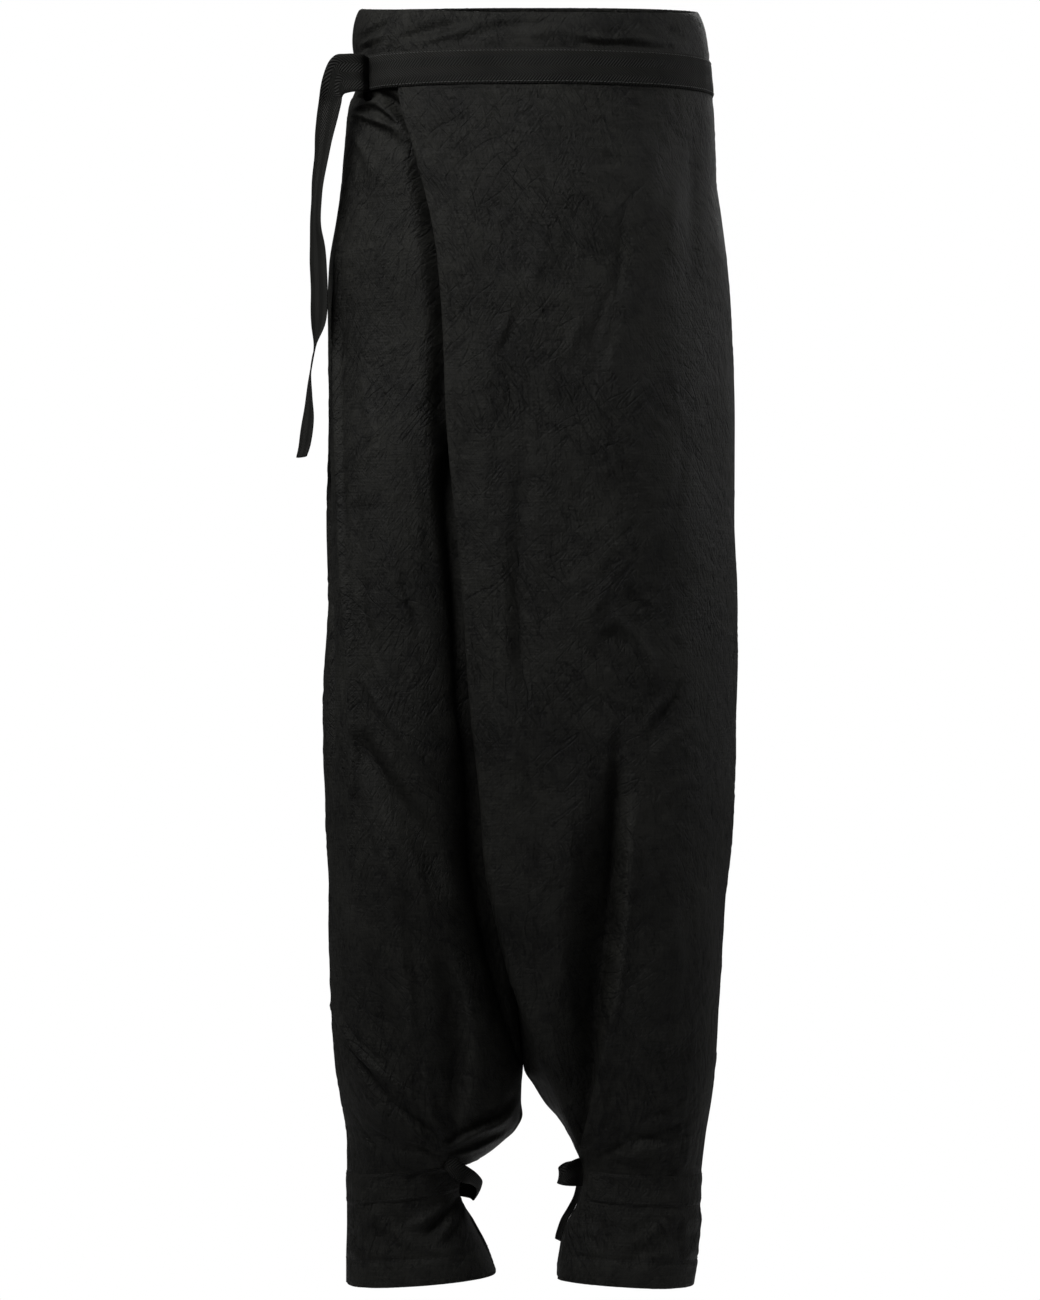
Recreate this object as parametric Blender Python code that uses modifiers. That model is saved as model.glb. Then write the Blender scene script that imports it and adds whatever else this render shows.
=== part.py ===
"""Wide-leg wrap trousers with a low crotch, in their worn, hollow form.

Metres, +Z up, -Y is the front, +X is the wearer's left. The origin is the centre of the
waist, level with the middle of the waist tape, where a wearer holds the trousers up.
Every panel is one thin shell through level sections; each section is worked out from
the short tables below, which give the named sizes at a few heights.
"""

import math

import bpy
import numpy as np

# ---- driving sizes -------------------------------------------------------------------
COLLECTION = "wide_leg_trousers"
CLOTH = 0.0012              # wall of a cloth panel
TAPE_WALL = 0.0012          # wall of the herringbone tape
SEAM_GAP = 0.0006           # panels lie this far apart along a seam, at their outer faces
LAID_GAP = 0.0004           # a piece laid on a panel stands this far off it
TAPE_WIDTH = 0.030
ROUNDNESS = 2.35            # 2 gives an ellipse, more gives a squarer section
TURN_ROUNDNESS = 2.2        # the same where the right front curls back at its inner edge
WAIST_SEAM_Z = -0.0152      # where the panels are sewn to the waistband
WAIST_HALF_DEPTH = 0.098
BAND_TOP_Z = 0.047          # top of the waistband at the centre front
BAND_BACK_RISE = 0.028      # the waistband stands this much higher at the centre back
OVERLAP_EDGE_X = -0.111     # where the overlapping front ends on the waistband
HIDDEN_EDGE_Z = -0.290      # above this the right front ends freely beneath the overlap
FOLD_RETURN = 0.024         # width of cloth turned under along the folded edge
RETURN_START = -0.08        # the turned cloth starts this share of its width off the fold
RETURN_DROP = 3.0           # its thickness is reached after one part in this many
EDGE_CURL = (0.0020, 0.0010)  # the right front's hidden free edge ends this far past its turn
CROTCH_Z = -0.848
SLOT_X = -0.1355            # the slot at the wearer's right hip
SLOT_HALF = 0.0025          # the tape ends this far past the slot
ANKLE_BAND_TOP_SHARE = 0.3  # the ankle band starts this far down its first row of cloth

# Points along each stretch of a section
SIDE_POINTS = 8
FACE_POINTS = 8
RETURN_POINTS = 6
WALL_POINTS = 4
INSEAM_POINTS = 7

# Height and stand-off of the slot bar, from its upper seat to its lower one
SLOT_BAR_ROWS = ((0.0225, -0.0002), (0.0185, 0.0034), (-0.0185, 0.0034), (-0.0225, -0.0002))

# Heights of the sections of a leg, closer together where the leg blouses over the strap
LEVELS = (WAIST_SEAM_Z - 0.0006, -0.050, -0.090, -0.140, -0.200, -0.240, -0.275, -0.310,
          -0.360, -0.430, -0.500, -0.565, -0.630, -0.685, -0.735, -0.780, -0.820, -0.848,
          -0.872, -0.895, -0.912, -0.926, -0.936, -0.942, -0.956, -0.971, -0.990, -1.010,
          -1.031)
ANKLE_BAND_LEVELS = LEVELS[-6:-3]


class Table:
    """Named sizes at a few heights, joined by a smooth curve that never overshoots."""

    def __init__(self, columns, *rows):
        data = np.array(sorted(rows), dtype=float)
        self.z = data[:, 0]
        self.values = dict(zip(columns.split()[1:], data[:, 1:].T))

    def at(self, column, z):
        """Value of a column at height z, from a monotone cubic through the rows."""
        v = self.values[column]
        z = min(max(z, self.z[0]), self.z[-1])
        i = int(min(np.searchsorted(self.z, z, side="right") - 1, len(self.z) - 2))
        steps = np.diff(self.z)
        slopes = np.diff(v) / steps
        tangents = np.zeros(len(v))
        tangents[0], tangents[-1] = slopes[0], slopes[-1]
        for k in range(1, len(v) - 1):
            if slopes[k - 1] * slopes[k] > 0.0:
                tangents[k] = 2.0 / (1.0 / slopes[k - 1] + 1.0 / slopes[k])
        h = steps[i]
        t = (z - self.z[i]) / h
        return float((2 * t**3 - 3 * t**2 + 1) * v[i] + (t**3 - 2 * t**2 + t) * h * tangents[i]
                     + (3 * t**2 - 2 * t**3) * v[i + 1] + (t**3 - t**2) * h * tangents[i + 1])


# Outline seen from the front and from the side: both side seams, front and back
BODY = Table(
    "z      right    left    front   back",
    (0.075, -0.1455, 0.1475, -0.091, 0.094),
    (0.047, -0.1500, 0.1515, -0.094, 0.098),
    (0.015, -0.1530, 0.1535, -0.099, 0.102),
    (-0.015, -0.1525, 0.1590, -0.103, 0.107),
    (-0.040, -0.1540, 0.1612, -0.108, 0.113),
    (-0.080, -0.1582, 0.1616, -0.115, 0.121),
    (-0.120, -0.1635, 0.1668, -0.121, 0.129),
    (-0.160, -0.1692, 0.1727, -0.125, 0.133),
    (-0.200, -0.1708, 0.1755, -0.128, 0.134),
    (-0.280, -0.1708, 0.1777, -0.130, 0.132),
    (-0.350, -0.1708, 0.1786, -0.130, 0.128),
    (-0.430, -0.1702, 0.1795, -0.129, 0.125),
    (-0.500, -0.1735, 0.1803, -0.127, 0.123),
    (-0.570, -0.1751, 0.1777, -0.124, 0.120),
    (-0.635, -0.1725, 0.1760, -0.120, 0.116),
    (-0.705, -0.1700, 0.1700, -0.113, 0.110),
    (-0.772, -0.1691, 0.1657, -0.103, 0.102),
    (-0.840, -0.1648, 0.1622, -0.089, 0.091),
    (-0.875, -0.1596, 0.1579, -0.079, 0.082),
    (-0.910, -0.1545, 0.1528, -0.068, 0.071),
    (-0.944, -0.1545, 0.1494, -0.057, 0.060),
    (-0.978, -0.1545, 0.1485, -0.057, 0.060),
    (-1.012, -0.1554, 0.1459, -0.060, 0.063),
    (-1.031, -0.1554, 0.1435, -0.061, 0.064))

# Overlapping left front: its crown (foremost point), the folded edge, the point where the
# section's curve would meet the side again, and the thickness of the folded edge
OVERLAP = Table(
    "z      crown   fold    reach    depth",
    (0.075, 0.000, -0.1110, -0.1455, 0.0029),
    (0.047, 0.000, -0.1110, -0.1500, 0.0029),
    (-0.015, 0.000, -0.1100, -0.1530, 0.0029),
    (-0.072, 0.000, -0.0959, -0.1580, 0.0046),
    (-0.127, 0.010, -0.0826, -0.1650, 0.0058),
    (-0.165, 0.010, -0.0760, -0.1690, 0.0062),
    (-0.200, 0.015, -0.0726, -0.1710, 0.0062),
    (-0.275, 0.020, -0.0692, -0.1710, 0.0062),
    (-0.341, 0.020, -0.0643, -0.1710, 0.0062),
    (-0.428, 0.025, -0.0568, -0.1680, 0.0062),
    (-0.527, 0.030, -0.0515, -0.1550, 0.0062),
    (-0.611, 0.045, -0.0426, -0.1230, 0.0062),
    (-0.663, 0.055, -0.0385, -0.1060, 0.0062),
    (-0.701, 0.060, -0.0310, -0.0917, 0.0062),
    (-0.739, 0.065, -0.0235, -0.0730, 0.0062),
    (-0.767, 0.068, -0.0160, -0.0590, 0.0062),
    (-0.798, 0.070, -0.0027, -0.0360, 0.0062),
    (-0.836, 0.080, 0.0125, -0.0120, 0.0062),
    (-0.860, 0.088, 0.0234, 0.0030, 0.0062),
    (-0.880, 0.092, 0.0293, 0.0140, 0.0062),
    (-0.899, 0.095, 0.0361, 0.0240, 0.0062),
    (-0.918, 0.097, 0.0430, 0.0346, 0.0062),
    (-0.930, 0.099, 0.0475, 0.0405, 0.0062),
    (-0.950, 0.098, 0.0465, 0.0395, 0.0062),
    (-0.974, 0.094, 0.0400, 0.0333, 0.0062),
    (-0.988, 0.091, 0.0325, 0.0257, 0.0062),
    (-1.005, 0.088, 0.0280, 0.0212, 0.0062),
    (-1.031, 0.086, 0.0262, 0.0190, 0.0062))

# Underlapping right front: its crown, how deep it stands, and the turn where the cloth
# curls back from the front into the leg's inner wall
UNDERLAP = Table(
    "z      crown   front   turn_x   turn_y",
    (0.075, 0.000, -0.0875, 0.030, -0.0860),
    (0.047, 0.000, -0.0900, 0.030, -0.0885),
    (-0.015, 0.000, -0.0968, 0.030, -0.0953),
    (-0.040, 0.000, -0.1005, 0.030, -0.0990),
    (-0.072, 0.000, -0.1045, 0.030, -0.1025),
    (-0.127, 0.010, -0.1120, 0.038, -0.1100),
    (-0.200, 0.005, -0.1175, 0.030, -0.1150),
    (-0.240, -0.030, -0.1150, 0.000, -0.1120),
    (-0.275, -0.065, -0.1130, -0.035, -0.1080),
    (-0.310, -0.090, -0.1155, -0.062, -0.1050),
    (-0.360, -0.103, -0.1180, -0.0700, -0.1030),
    (-0.428, -0.105, -0.1195, -0.0655, -0.1010),
    (-0.466, -0.105, -0.1200, -0.0630, -0.0990),
    (-0.527, -0.104, -0.1200, -0.0615, -0.0950),
    (-0.565, -0.103, -0.1190, -0.0565, -0.0915),
    (-0.611, -0.102, -0.1165, -0.0530, -0.0870),
    (-0.663, -0.100, -0.1130, -0.0510, -0.0800),
    (-0.701, -0.098, -0.1095, -0.0445, -0.0730),
    (-0.739, -0.095, -0.1045, -0.0375, -0.0640),
    (-0.767, -0.092, -0.1005, -0.0295, -0.0550),
    (-0.798, -0.088, -0.0955, -0.0210, -0.0420),
    (-0.836, -0.083, -0.0885, -0.0085, -0.0190),
    (-0.852, -0.081, -0.0855, -0.0048, -0.0080),
    (-0.874, -0.081, -0.0805, -0.0050, -0.0050),
    (-0.895, -0.083, -0.0750, -0.0065, -0.0040),
    (-0.912, -0.087, -0.0690, -0.0135, -0.0040),
    (-0.926, -0.093, -0.0640, -0.0260, -0.0040),
    (-0.936, -0.100, -0.0590, -0.0395, -0.0040),
    (-0.942, -0.105, -0.0565, -0.0552, -0.0040),
    (-0.966, -0.106, -0.0560, -0.0578, -0.0040),
    (-0.978, -0.104, -0.0565, -0.0525, -0.0040),
    (-0.990, -0.100, -0.0575, -0.0472, -0.0040),
    (-1.010, -0.095, -0.0595, -0.0365, -0.0040),
    (-1.031, -0.091, -0.0610, -0.0268, -0.0040))

# Inner ends of the front panels: the hidden rise seam down to the crotch, and then each
# leg's inseam; and how far the centre-back seam lies in front of the back's crown
INNER = Table(
    "z      rise_x  rise_y  left_in  right_in  back_x  dip",
    (0.075, -0.035, -0.0980, 0.000, 0.000, 0.000, 0.0006),
    (-0.015, -0.035, -0.0980, 0.000, 0.000, 0.000, 0.0008),
    (-0.080, -0.035, -0.0980, 0.000, 0.000, 0.000, 0.0015),
    (-0.200, -0.035, -0.0980, 0.000, 0.000, 0.000, 0.0050),
    (-0.350, -0.035, -0.0980, 0.000, 0.000, 0.000, 0.0070),
    (-0.450, -0.035, -0.0950, 0.000, 0.000, 0.000, 0.0090),
    (-0.550, -0.030, -0.0860, 0.000, 0.000, 0.000, 0.0150),
    (-0.650, -0.022, -0.0680, 0.000, 0.000, 0.000, 0.0230),
    (-0.720, -0.015, -0.0500, 0.000, 0.000, 0.000, 0.0310),
    (-0.770, -0.010, -0.0340, 0.000, 0.000, 0.000, 0.0430),
    (-0.810, -0.006, -0.0180, 0.000, 0.000, 0.000, 0.0590),
    (-0.836, -0.004, -0.0070, -0.0020, -0.0040, -0.002, 0.0770),
    (-0.848, -0.003, -0.0010, -0.0025, -0.0035, -0.003, 0.0880),
    (-0.862, 0.000, 0.000, 0.0055, -0.0046, 0.000, 0.0880),
    (-0.879, 0.000, 0.000, 0.0158, -0.0050, 0.000, 0.0880),
    (-0.893, 0.000, 0.000, 0.0275, -0.0063, 0.000, 0.0880),
    (-0.909, 0.000, 0.000, 0.0365, -0.0120, 0.000, 0.0880),
    (-0.926, 0.000, 0.000, 0.0440, -0.0260, 0.000, 0.0880),
    (-0.936, 0.000, 0.000, 0.0482, -0.0395, 0.000, 0.0880),
    (-0.942, 0.000, 0.000, 0.0485, -0.0552, 0.000, 0.0880),
    (-0.966, 0.000, 0.000, 0.0440, -0.0578, 0.000, 0.0880),
    (-0.990, 0.000, 0.000, 0.0320, -0.0472, 0.000, 0.0880),
    (-1.010, 0.000, 0.000, 0.0275, -0.0365, 0.000, 0.0880),
    (-1.031, 0.000, 0.000, 0.0257, -0.0268, 0.000, 0.0880))

# Crowns (rearmost points) of the two back panels
SEAT = Table(
    "z      left   right",
    (0.075, 0.020, -0.020),
    (-0.100, 0.045, -0.045),
    (-0.350, 0.052, -0.052),
    (-0.550, 0.062, -0.062),
    (-0.720, 0.076, -0.076),
    (-0.848, 0.086, -0.084),
    (-0.910, 0.094, -0.088),
    (-0.944, 0.099, -0.105),
    (-0.978, 0.095, -0.103),
    (-1.031, 0.087, -0.091))

# How much higher than its outer side a section's inner side lies, and how far the turned
# edge of the overlap has become the leg's deep inner wall (0 flat, 1 deep)
SLANT = Table(
    "z      left    right   deep",
    (0.000, 0.000, 0.000, 0.0),
    (-0.340, 0.000, 0.000, 0.0),
    (-0.480, 0.000, 0.000, 0.85),
    (-0.550, 0.000, 0.000, 1.0),
    (-0.850, 0.000, 0.000, 1.0),
    (-0.942, 0.0040, 0.0125, 1.0),
    (-0.990, 0.0050, 0.0105, 1.0),
    (-1.031, 0.0065, 0.0090, 1.0))

# The tie end where it hangs: centre line and how far its face is turned from the front
TIE_HANG = Table(
    "z      x        y       turn",
    (-0.0270, -0.1672, -0.052, 49.0),
    (-0.0480, -0.1712, -0.050, 55.0),
    (-0.0680, -0.1734, -0.049, 64.0),
    (-0.0890, -0.1770, -0.048, 68.0),
    (-0.1090, -0.1781, -0.047, 73.0),
    (-0.1300, -0.1790, -0.047, 72.0),
    (-0.1500, -0.1775, -0.047, 66.0),
    (-0.1850, -0.1762, -0.048, 61.0),
    (-0.2120, -0.1766, -0.048, 64.0),
    (-0.2320, -0.1798, -0.047, 84.0),
    (-0.2520, -0.1830, -0.045, 95.0),
    (-0.2730, -0.1845, -0.044, 102.0),
    (-0.2930, -0.1856, -0.043, 111.0),
    (-0.3130, -0.1885, -0.042, 110.0),
    (-0.3250, -0.1915, -0.041, 108.0))

# The tie end where it leaves the slot and folds over, and the straps at the ankles: the
# two edges of each strip, one row for each station along it
TIE_FOLD = (
    # upper or outer edge x, y, z       lower or inner edge x, y, z
    ((-0.1418, -0.0510, 0.0140), (-0.1418, -0.0510, -0.0160)),
    ((-0.1480, -0.0535, 0.0146), (-0.1475, -0.0535, -0.0162)),
    ((-0.1560, -0.0560, 0.0146), (-0.1530, -0.0550, -0.0172)),
    ((-0.1640, -0.0580, 0.0122), (-0.1555, -0.0570, -0.0186)),
    ((-0.1700, -0.0580, 0.0040), (-0.1568, -0.0590, -0.0205)),
    ((-0.1745, -0.0550, -0.0080), (-0.1572, -0.0610, -0.0225)))

LEFT_STRAP_LOOP = (
    ((0.0462, -0.0312, -0.9275), (0.0450, -0.0312, -0.9500)),
    ((0.0370, -0.0240, -0.9290), (0.0365, -0.0240, -0.9495)),
    ((0.0290, -0.0120, -0.9325), (0.0275, -0.0120, -0.9490)),
    ((0.0285, 0.0020, -0.9325), (0.0275, 0.0020, -0.9490)),
    ((0.0350, 0.0130, -0.9300), (0.0345, 0.0130, -0.9500)),
    ((0.0452, 0.0190, -0.9290), (0.0442, 0.0190, -0.9515)))

RIGHT_STRAP_LOOP = (
    ((-0.0645, -0.0430, -0.9310), (-0.0650, -0.0408, -0.9470)),
    ((-0.0570, -0.0420, -0.9325), (-0.0570, -0.0400, -0.9490)),
    ((-0.0480, -0.0350, -0.9360), (-0.0490, -0.0350, -0.9530)),
    ((-0.0400, -0.0230, -0.9400), (-0.0440, -0.0220, -0.9580)),
    ((-0.0395, -0.0080, -0.9420), (-0.0440, -0.0080, -0.9590)),
    ((-0.0455, 0.0050, -0.9390), (-0.0475, 0.0050, -0.9570)),
    ((-0.0558, 0.0120, -0.9370), (-0.0566, 0.0120, -0.9560)))

LEFT_STRAP_END = (
    ((0.0405, 0.0130, -0.9522), (0.0455, 0.0240, -0.9524)),
    ((0.0345, 0.0125, -0.9660), (0.0400, 0.0230, -0.9665)),
    ((0.0295, 0.0120, -0.9800), (0.0350, 0.0225, -0.9805)),
    ((0.0240, 0.0115, -0.9950), (0.0290, 0.0220, -0.9955)))


# ---- sections --------------------------------------------------------------------------
def quarter(side, crown, count, power=ROUNDNESS):
    """Quarter of a rounded section from its side point to its crown."""
    t = np.linspace(0.0, math.pi / 2, count)
    x = crown[0] + (side[0] - crown[0]) * np.cos(t) ** (2 / power)
    y = side[1] + (crown[1] - side[1]) * np.sin(t) ** (2 / power)
    return np.column_stack((x, y))


def overlap_curve(z, x):
    """Points at given x on the left front's outer face, to the right of its crown."""
    crown = OVERLAP.at("crown", z)
    share = np.clip((crown - x) / (crown - OVERLAP.at("reach", z)), 0.0, 1.0)
    y = BODY.at("front", z) * (1.0 - share**ROUNDNESS) ** (1 / ROUNDNESS)
    return np.column_stack((x, y))


def overlap_face(z, count, end_x):
    """Outer face of the left front from its crown across towards the wearer's right."""
    return overlap_curve(z, np.linspace(OVERLAP.at("crown", z), end_x, count))


def overlap_outline(z, count, end_x):
    """Left side seam, round the front, to an end on the wearer's right."""
    side = (BODY.at("left", z), -SEAM_GAP / 2)
    crown = (OVERLAP.at("crown", z), BODY.at("front", z))
    return np.vstack((quarter(side, crown, SIDE_POINTS), overlap_face(z, count, end_x)[1:]))


def inner_end(leg, z):
    """Where a leg's front panel ends: on the rise seam, or below the crotch on the inseam."""
    aside = SEAM_GAP / 2 if leg == "left" else -SEAM_GAP / 2
    if z >= CROTCH_Z:
        return np.array((INNER.at("rise_x", z) + aside, INNER.at("rise_y", z)))
    return np.array((INNER.at(leg + "_in", z), -SEAM_GAP / 2))


def folded_under(z, fold, count):
    """Cloth turned under at the fold, which lower down is the leg's inner wall."""
    s = np.linspace(0.0, 1.0, count)[1:]
    under = overlap_curve(z, fold[0] + FOLD_RETURN * (s + RETURN_START))
    sunk = OVERLAP.at("depth", z) * np.minimum(s * RETURN_DROP, 1.0)
    flat = moved_out(under[::-1], -sunk[::-1])[::-1]
    deep = fold + (inner_end("left", z) - fold) * s[:, None]
    weight = SLANT.at("deep", z)
    return flat * (1.0 - weight) + deep * weight


def left_front_section(z):
    face = overlap_outline(z, FACE_POINTS, OVERLAP.at("fold", z))
    return np.vstack((face, folded_under(z, face[-1], RETURN_POINTS)))


def right_front_section(z):
    side = (BODY.at("right", z), -SEAM_GAP / 2)
    crown = (UNDERLAP.at("crown", z), UNDERLAP.at("front", z))
    turn = np.array((UNDERLAP.at("turn_x", z), UNDERLAP.at("turn_y", z)))
    face = quarter(turn, crown, FACE_POINTS, TURN_ROUNDNESS)[::-1]
    end = inner_end("right", z) if z < HIDDEN_EDGE_Z else turn + EDGE_CURL
    s = np.linspace(0.0, 1.0, WALL_POINTS)[1:, None]
    return np.vstack((quarter(side, crown, SIDE_POINTS), face[1:], turn + (end - turn) * s))


def back_section(leg, z):
    """Half of the back, from the side seam round to the centre back or the inseam."""
    side = (BODY.at(leg, z), SEAM_GAP / 2)
    crown = (SEAT.at(leg, z), BODY.at("back", z))
    if z >= CROTCH_Z:
        aside = SEAM_GAP / 2 if leg == "left" else -SEAM_GAP / 2
        end = (INNER.at("back_x", z) + aside, crown[1] - INNER.at("dip", z))
    else:
        end = (INNER.at(leg + "_in", z), SEAM_GAP / 2)
    inner = quarter(end, crown, INSEAM_POINTS, 2.0)[-2::-1]
    return np.vstack((quarter(side, crown, SIDE_POINTS), inner))


def slanted(leg, z, section):
    """Lift a level section's inner side, as the cuffs and the ankle straps lie."""
    outer = section[0, 0]
    inner = INNER.at(leg + "_in", z)
    share = np.clip((section[:, 0] - outer) / (inner - outer), 0.0, 1.0)
    return np.column_stack((section, z + SLANT.at(leg, z) * share))


def moved_out(path, distance):
    """Move a path sideways in the level plane, to the left of its direction."""
    step = np.gradient(path[:, :2], axis=0)
    step /= np.linalg.norm(step, axis=1)[:, None]
    moved = path.copy()
    moved[:, 0] -= step[:, 1] * distance
    moved[:, 1] += step[:, 0] * distance
    return moved


# ---- solids ----------------------------------------------------------------------------
def finish_material(name, colour, roughness):
    material = bpy.data.materials.new(name)
    material.use_nodes = True
    shader = material.node_tree.nodes["Principled BSDF"]
    shader.inputs["Base Color"].default_value = (*colour, 1.0)
    shader.inputs["Roughness"].default_value = roughness
    shader.inputs["Metallic"].default_value = 0.0
    return material


def cloth_shell(name, rows, wall, material, outward):
    """Rows of points, top row first, as a closed thin shell whose wall grows inwards.

    outward names the side, left or right of each row's direction, that faces out.
    """
    count = len(rows[0])
    faces = []
    for i in range(len(rows) - 1):
        for j in range(count - 1):
            a = i * count + j
            quad = (a, a + count, a + count + 1, a + 1)
            faces.append(quad[::-1] if outward == "left" else quad)
    mesh = bpy.data.meshes.new(name)
    mesh.from_pydata([tuple(point) for row in rows for point in row], [], faces)
    mesh.update()
    mesh.shade_smooth()
    mesh.materials.append(material)
    shell = bpy.data.objects.new(name, mesh)
    bpy.data.collections[COLLECTION].objects.link(shell)
    solidify = shell.modifiers.new("wall", "SOLIDIFY")
    solidify.thickness = wall
    solidify.offset = -1.0


def leg_rows(leg, section, levels=LEVELS):
    return [slanted(leg, z, section(z)) for z in levels]


def panels(cloth):
    """The four leg panels, each one piece from the waistband to the hem."""
    shapes = (("left_front_panel", "left", left_front_section, "left"),
              ("right_front_panel", "right", right_front_section, "right"),
              ("left_back_panel", "left", lambda z: back_section("left", z), "right"),
              ("right_back_panel", "right", lambda z: back_section("right", z), "left"))
    for name, leg, section, outward in shapes:
        cloth_shell(name, leg_rows(leg, section), CLOTH, cloth, outward)


def band_edges(outline):
    """Bottom and top edge of the waistband; the top rises from the centre front back."""
    low = outline(WAIST_SEAM_Z)
    high = outline(BAND_TOP_Z)
    towards_back = np.clip((high[:, 1] / WAIST_HALF_DEPTH + 1.0) / 2, 0.0, 1.0)
    top = BAND_TOP_Z + BAND_BACK_RISE * towards_back**2
    return (np.column_stack((low, np.full(len(low), WAIST_SEAM_Z))),
            np.column_stack((high, top)))


def band_rows(outline):
    """Rows of the waistband, on the straight wall between its two edges."""
    low, high = band_edges(outline)
    return [high, (low + high) / 2, low]


def whole_back(z):
    """The back of the waist in one sweep, from the left side seam to the right one."""
    return np.vstack((back_section("left", z)[:-1], back_section("right", z)[-2::-1]))


def band_outline(z):
    return overlap_outline(z, FACE_POINTS, OVERLAP_EDGE_X)


def tape_outline(z):
    """The waistband's own points, carried on past the overlap's edge to the slot."""
    halfway = (OVERLAP_EDGE_X + SLOT_X) / 2
    beyond = np.array((halfway, SLOT_X + SLOT_HALF, SLOT_X, SLOT_X - SLOT_HALF))
    return np.vstack((band_outline(z), overlap_curve(z, beyond)))


def waistband(cloth):
    cloth_shell("waistband_left_front", band_rows(band_outline), CLOTH, cloth, "left")
    right = band_rows(lambda z: right_front_section(z)[:1 - WALL_POINTS])
    cloth_shell("waistband_right_front", right, CLOTH, cloth, "right")
    cloth_shell("waistband_back", band_rows(whole_back), CLOTH, cloth, "right")


def tape_row(z, lift):
    """Level row of points that stands off the waistband by a given distance."""
    low, high = band_edges(tape_outline)
    share = (z - low[:, 2:]) / (high[:, 2:] - low[:, 2:])
    return moved_out(low + (high - low) * share, lift)


def waist_tape(tape):
    """Flat tape sewn round the front of the waist, from the left side seam to the slot."""
    heights = np.linspace(TAPE_WIDTH / 2, -TAPE_WIDTH / 2, 3)
    rows = [tape_row(z, LAID_GAP + TAPE_WALL) for z in heights]
    cloth_shell("waist_tape", rows, TAPE_WALL, tape, "left")


def slot_bar(tape):
    """Narrow bar over the tape at the slot, seated on the waistband above and below it."""
    rows = []
    for z, lift in SLOT_BAR_ROWS:
        rows.append(tape_row(z, lift)[-3:])
    cloth_shell("slot_bar", rows, TAPE_WALL, tape, "left")


def strip(name, stations, wall, material):
    """Flat strip through pairs of edge points, with a middle line between its edges."""
    rows = []
    for one, other in stations:
        one = np.array(one)
        other = np.array(other)
        rows.append(np.array((one, (one + other) / 2, other)))
    cloth_shell(name, rows, wall, material, "left")


def tie_end(tape):
    """The tape's free end: folded over beside the slot, then hanging and turning."""
    stations = list(TIE_FOLD)
    for z in TIE_HANG.z[::-1]:
        centre = np.array((TIE_HANG.at("x", z), TIE_HANG.at("y", z), z))
        turn = math.radians(TIE_HANG.at("turn", z))
        half = np.array((math.cos(turn), -math.sin(turn), 0.0)) * TAPE_WIDTH / 2
        stations.append((centre - half, centre + half))
    strip("tie_end", stations, TAPE_WALL, tape)


def ankle_band(leg, front_section, front_points, cloth):
    """Band sewn round an ankle, from one edge of the inner gap round to the other."""
    front = leg_rows(leg, front_section, ANKLE_BAND_LEVELS)
    back = leg_rows(leg, lambda z: back_section(leg, z), ANKLE_BAND_LEVELS)
    panel = [np.vstack((f[:front_points][::-1], b[1:-1])) for f, b in zip(front, back)]
    panel[0] = panel[0] + (panel[1] - panel[0]) * ANKLE_BAND_TOP_SHARE
    side = -1.0 if leg == "left" else 1.0
    rows = [moved_out(path, side * (LAID_GAP + CLOTH)) for path in panel]
    cloth_shell(leg + "_ankle_band", rows, CLOTH, cloth, "right" if leg == "left" else "left")


def build():
    for thing in list(bpy.data.objects):
        bpy.data.objects.remove(thing, do_unlink=True)
    bpy.context.scene.collection.children.link(bpy.data.collections.new(COLLECTION))
    cloth = finish_material("black_crinkled_cloth", (0.012, 0.012, 0.011), 0.62)
    tape = finish_material("black_herringbone_tape", (0.015, 0.015, 0.014), 0.75)
    panels(cloth)
    waistband(cloth)
    waist_tape(tape)
    slot_bar(tape)
    tie_end(tape)
    ankle_band("left", left_front_section, SIDE_POINTS + FACE_POINTS - 2, cloth)
    ankle_band("right", right_front_section, SIDE_POINTS + FACE_POINTS - 2, cloth)
    strip("left_strap_loop", LEFT_STRAP_LOOP, TAPE_WALL, tape)
    strip("right_strap_loop", RIGHT_STRAP_LOOP, TAPE_WALL, tape)
    strip("left_strap_end", LEFT_STRAP_END, TAPE_WALL, tape)


build()
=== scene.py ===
"""Wide-leg wrap trousers in black crinkled cloth, in their worn, hollow form.

Metres, +Z up, -Y is the front, +X is the wearer's left; the origin is the centre of the
waist. Each cloth piece is a fine grid over the same level sections as the plain solids,
with its folds, creases and gathers pressed in from the tables below.
"""

import math

import bpy
import numpy as np
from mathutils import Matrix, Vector


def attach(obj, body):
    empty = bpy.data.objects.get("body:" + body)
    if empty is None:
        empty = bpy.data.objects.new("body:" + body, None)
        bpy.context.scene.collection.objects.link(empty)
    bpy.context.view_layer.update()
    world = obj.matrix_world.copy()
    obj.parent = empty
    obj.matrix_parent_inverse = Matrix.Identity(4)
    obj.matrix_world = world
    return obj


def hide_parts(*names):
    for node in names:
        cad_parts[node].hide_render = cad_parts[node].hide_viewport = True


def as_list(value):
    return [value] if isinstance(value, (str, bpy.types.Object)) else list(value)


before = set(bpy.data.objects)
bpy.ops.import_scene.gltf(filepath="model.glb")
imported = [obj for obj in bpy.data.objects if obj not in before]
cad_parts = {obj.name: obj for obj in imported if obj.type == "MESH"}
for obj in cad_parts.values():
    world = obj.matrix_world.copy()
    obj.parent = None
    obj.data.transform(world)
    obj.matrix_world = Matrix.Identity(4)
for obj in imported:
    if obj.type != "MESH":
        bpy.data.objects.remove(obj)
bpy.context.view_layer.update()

# ---- sizes of the cut ------------------------------------------------------------------
WALL = 0.0009               # wall of a cloth panel
TAPE_WALL = 0.0011          # wall of the herringbone tape
BAND_WALL = 0.0016          # the waistband is doubled cloth
SEAM_GAP = 0.0006           # panels lie this far apart along a seam
LAID_GAP = 0.0004           # a piece laid on a panel stands this far off it
TAPE_WIDTH = 0.030
ROUNDNESS = 2.35            # 2 gives an ellipse, more gives a squarer section
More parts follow.
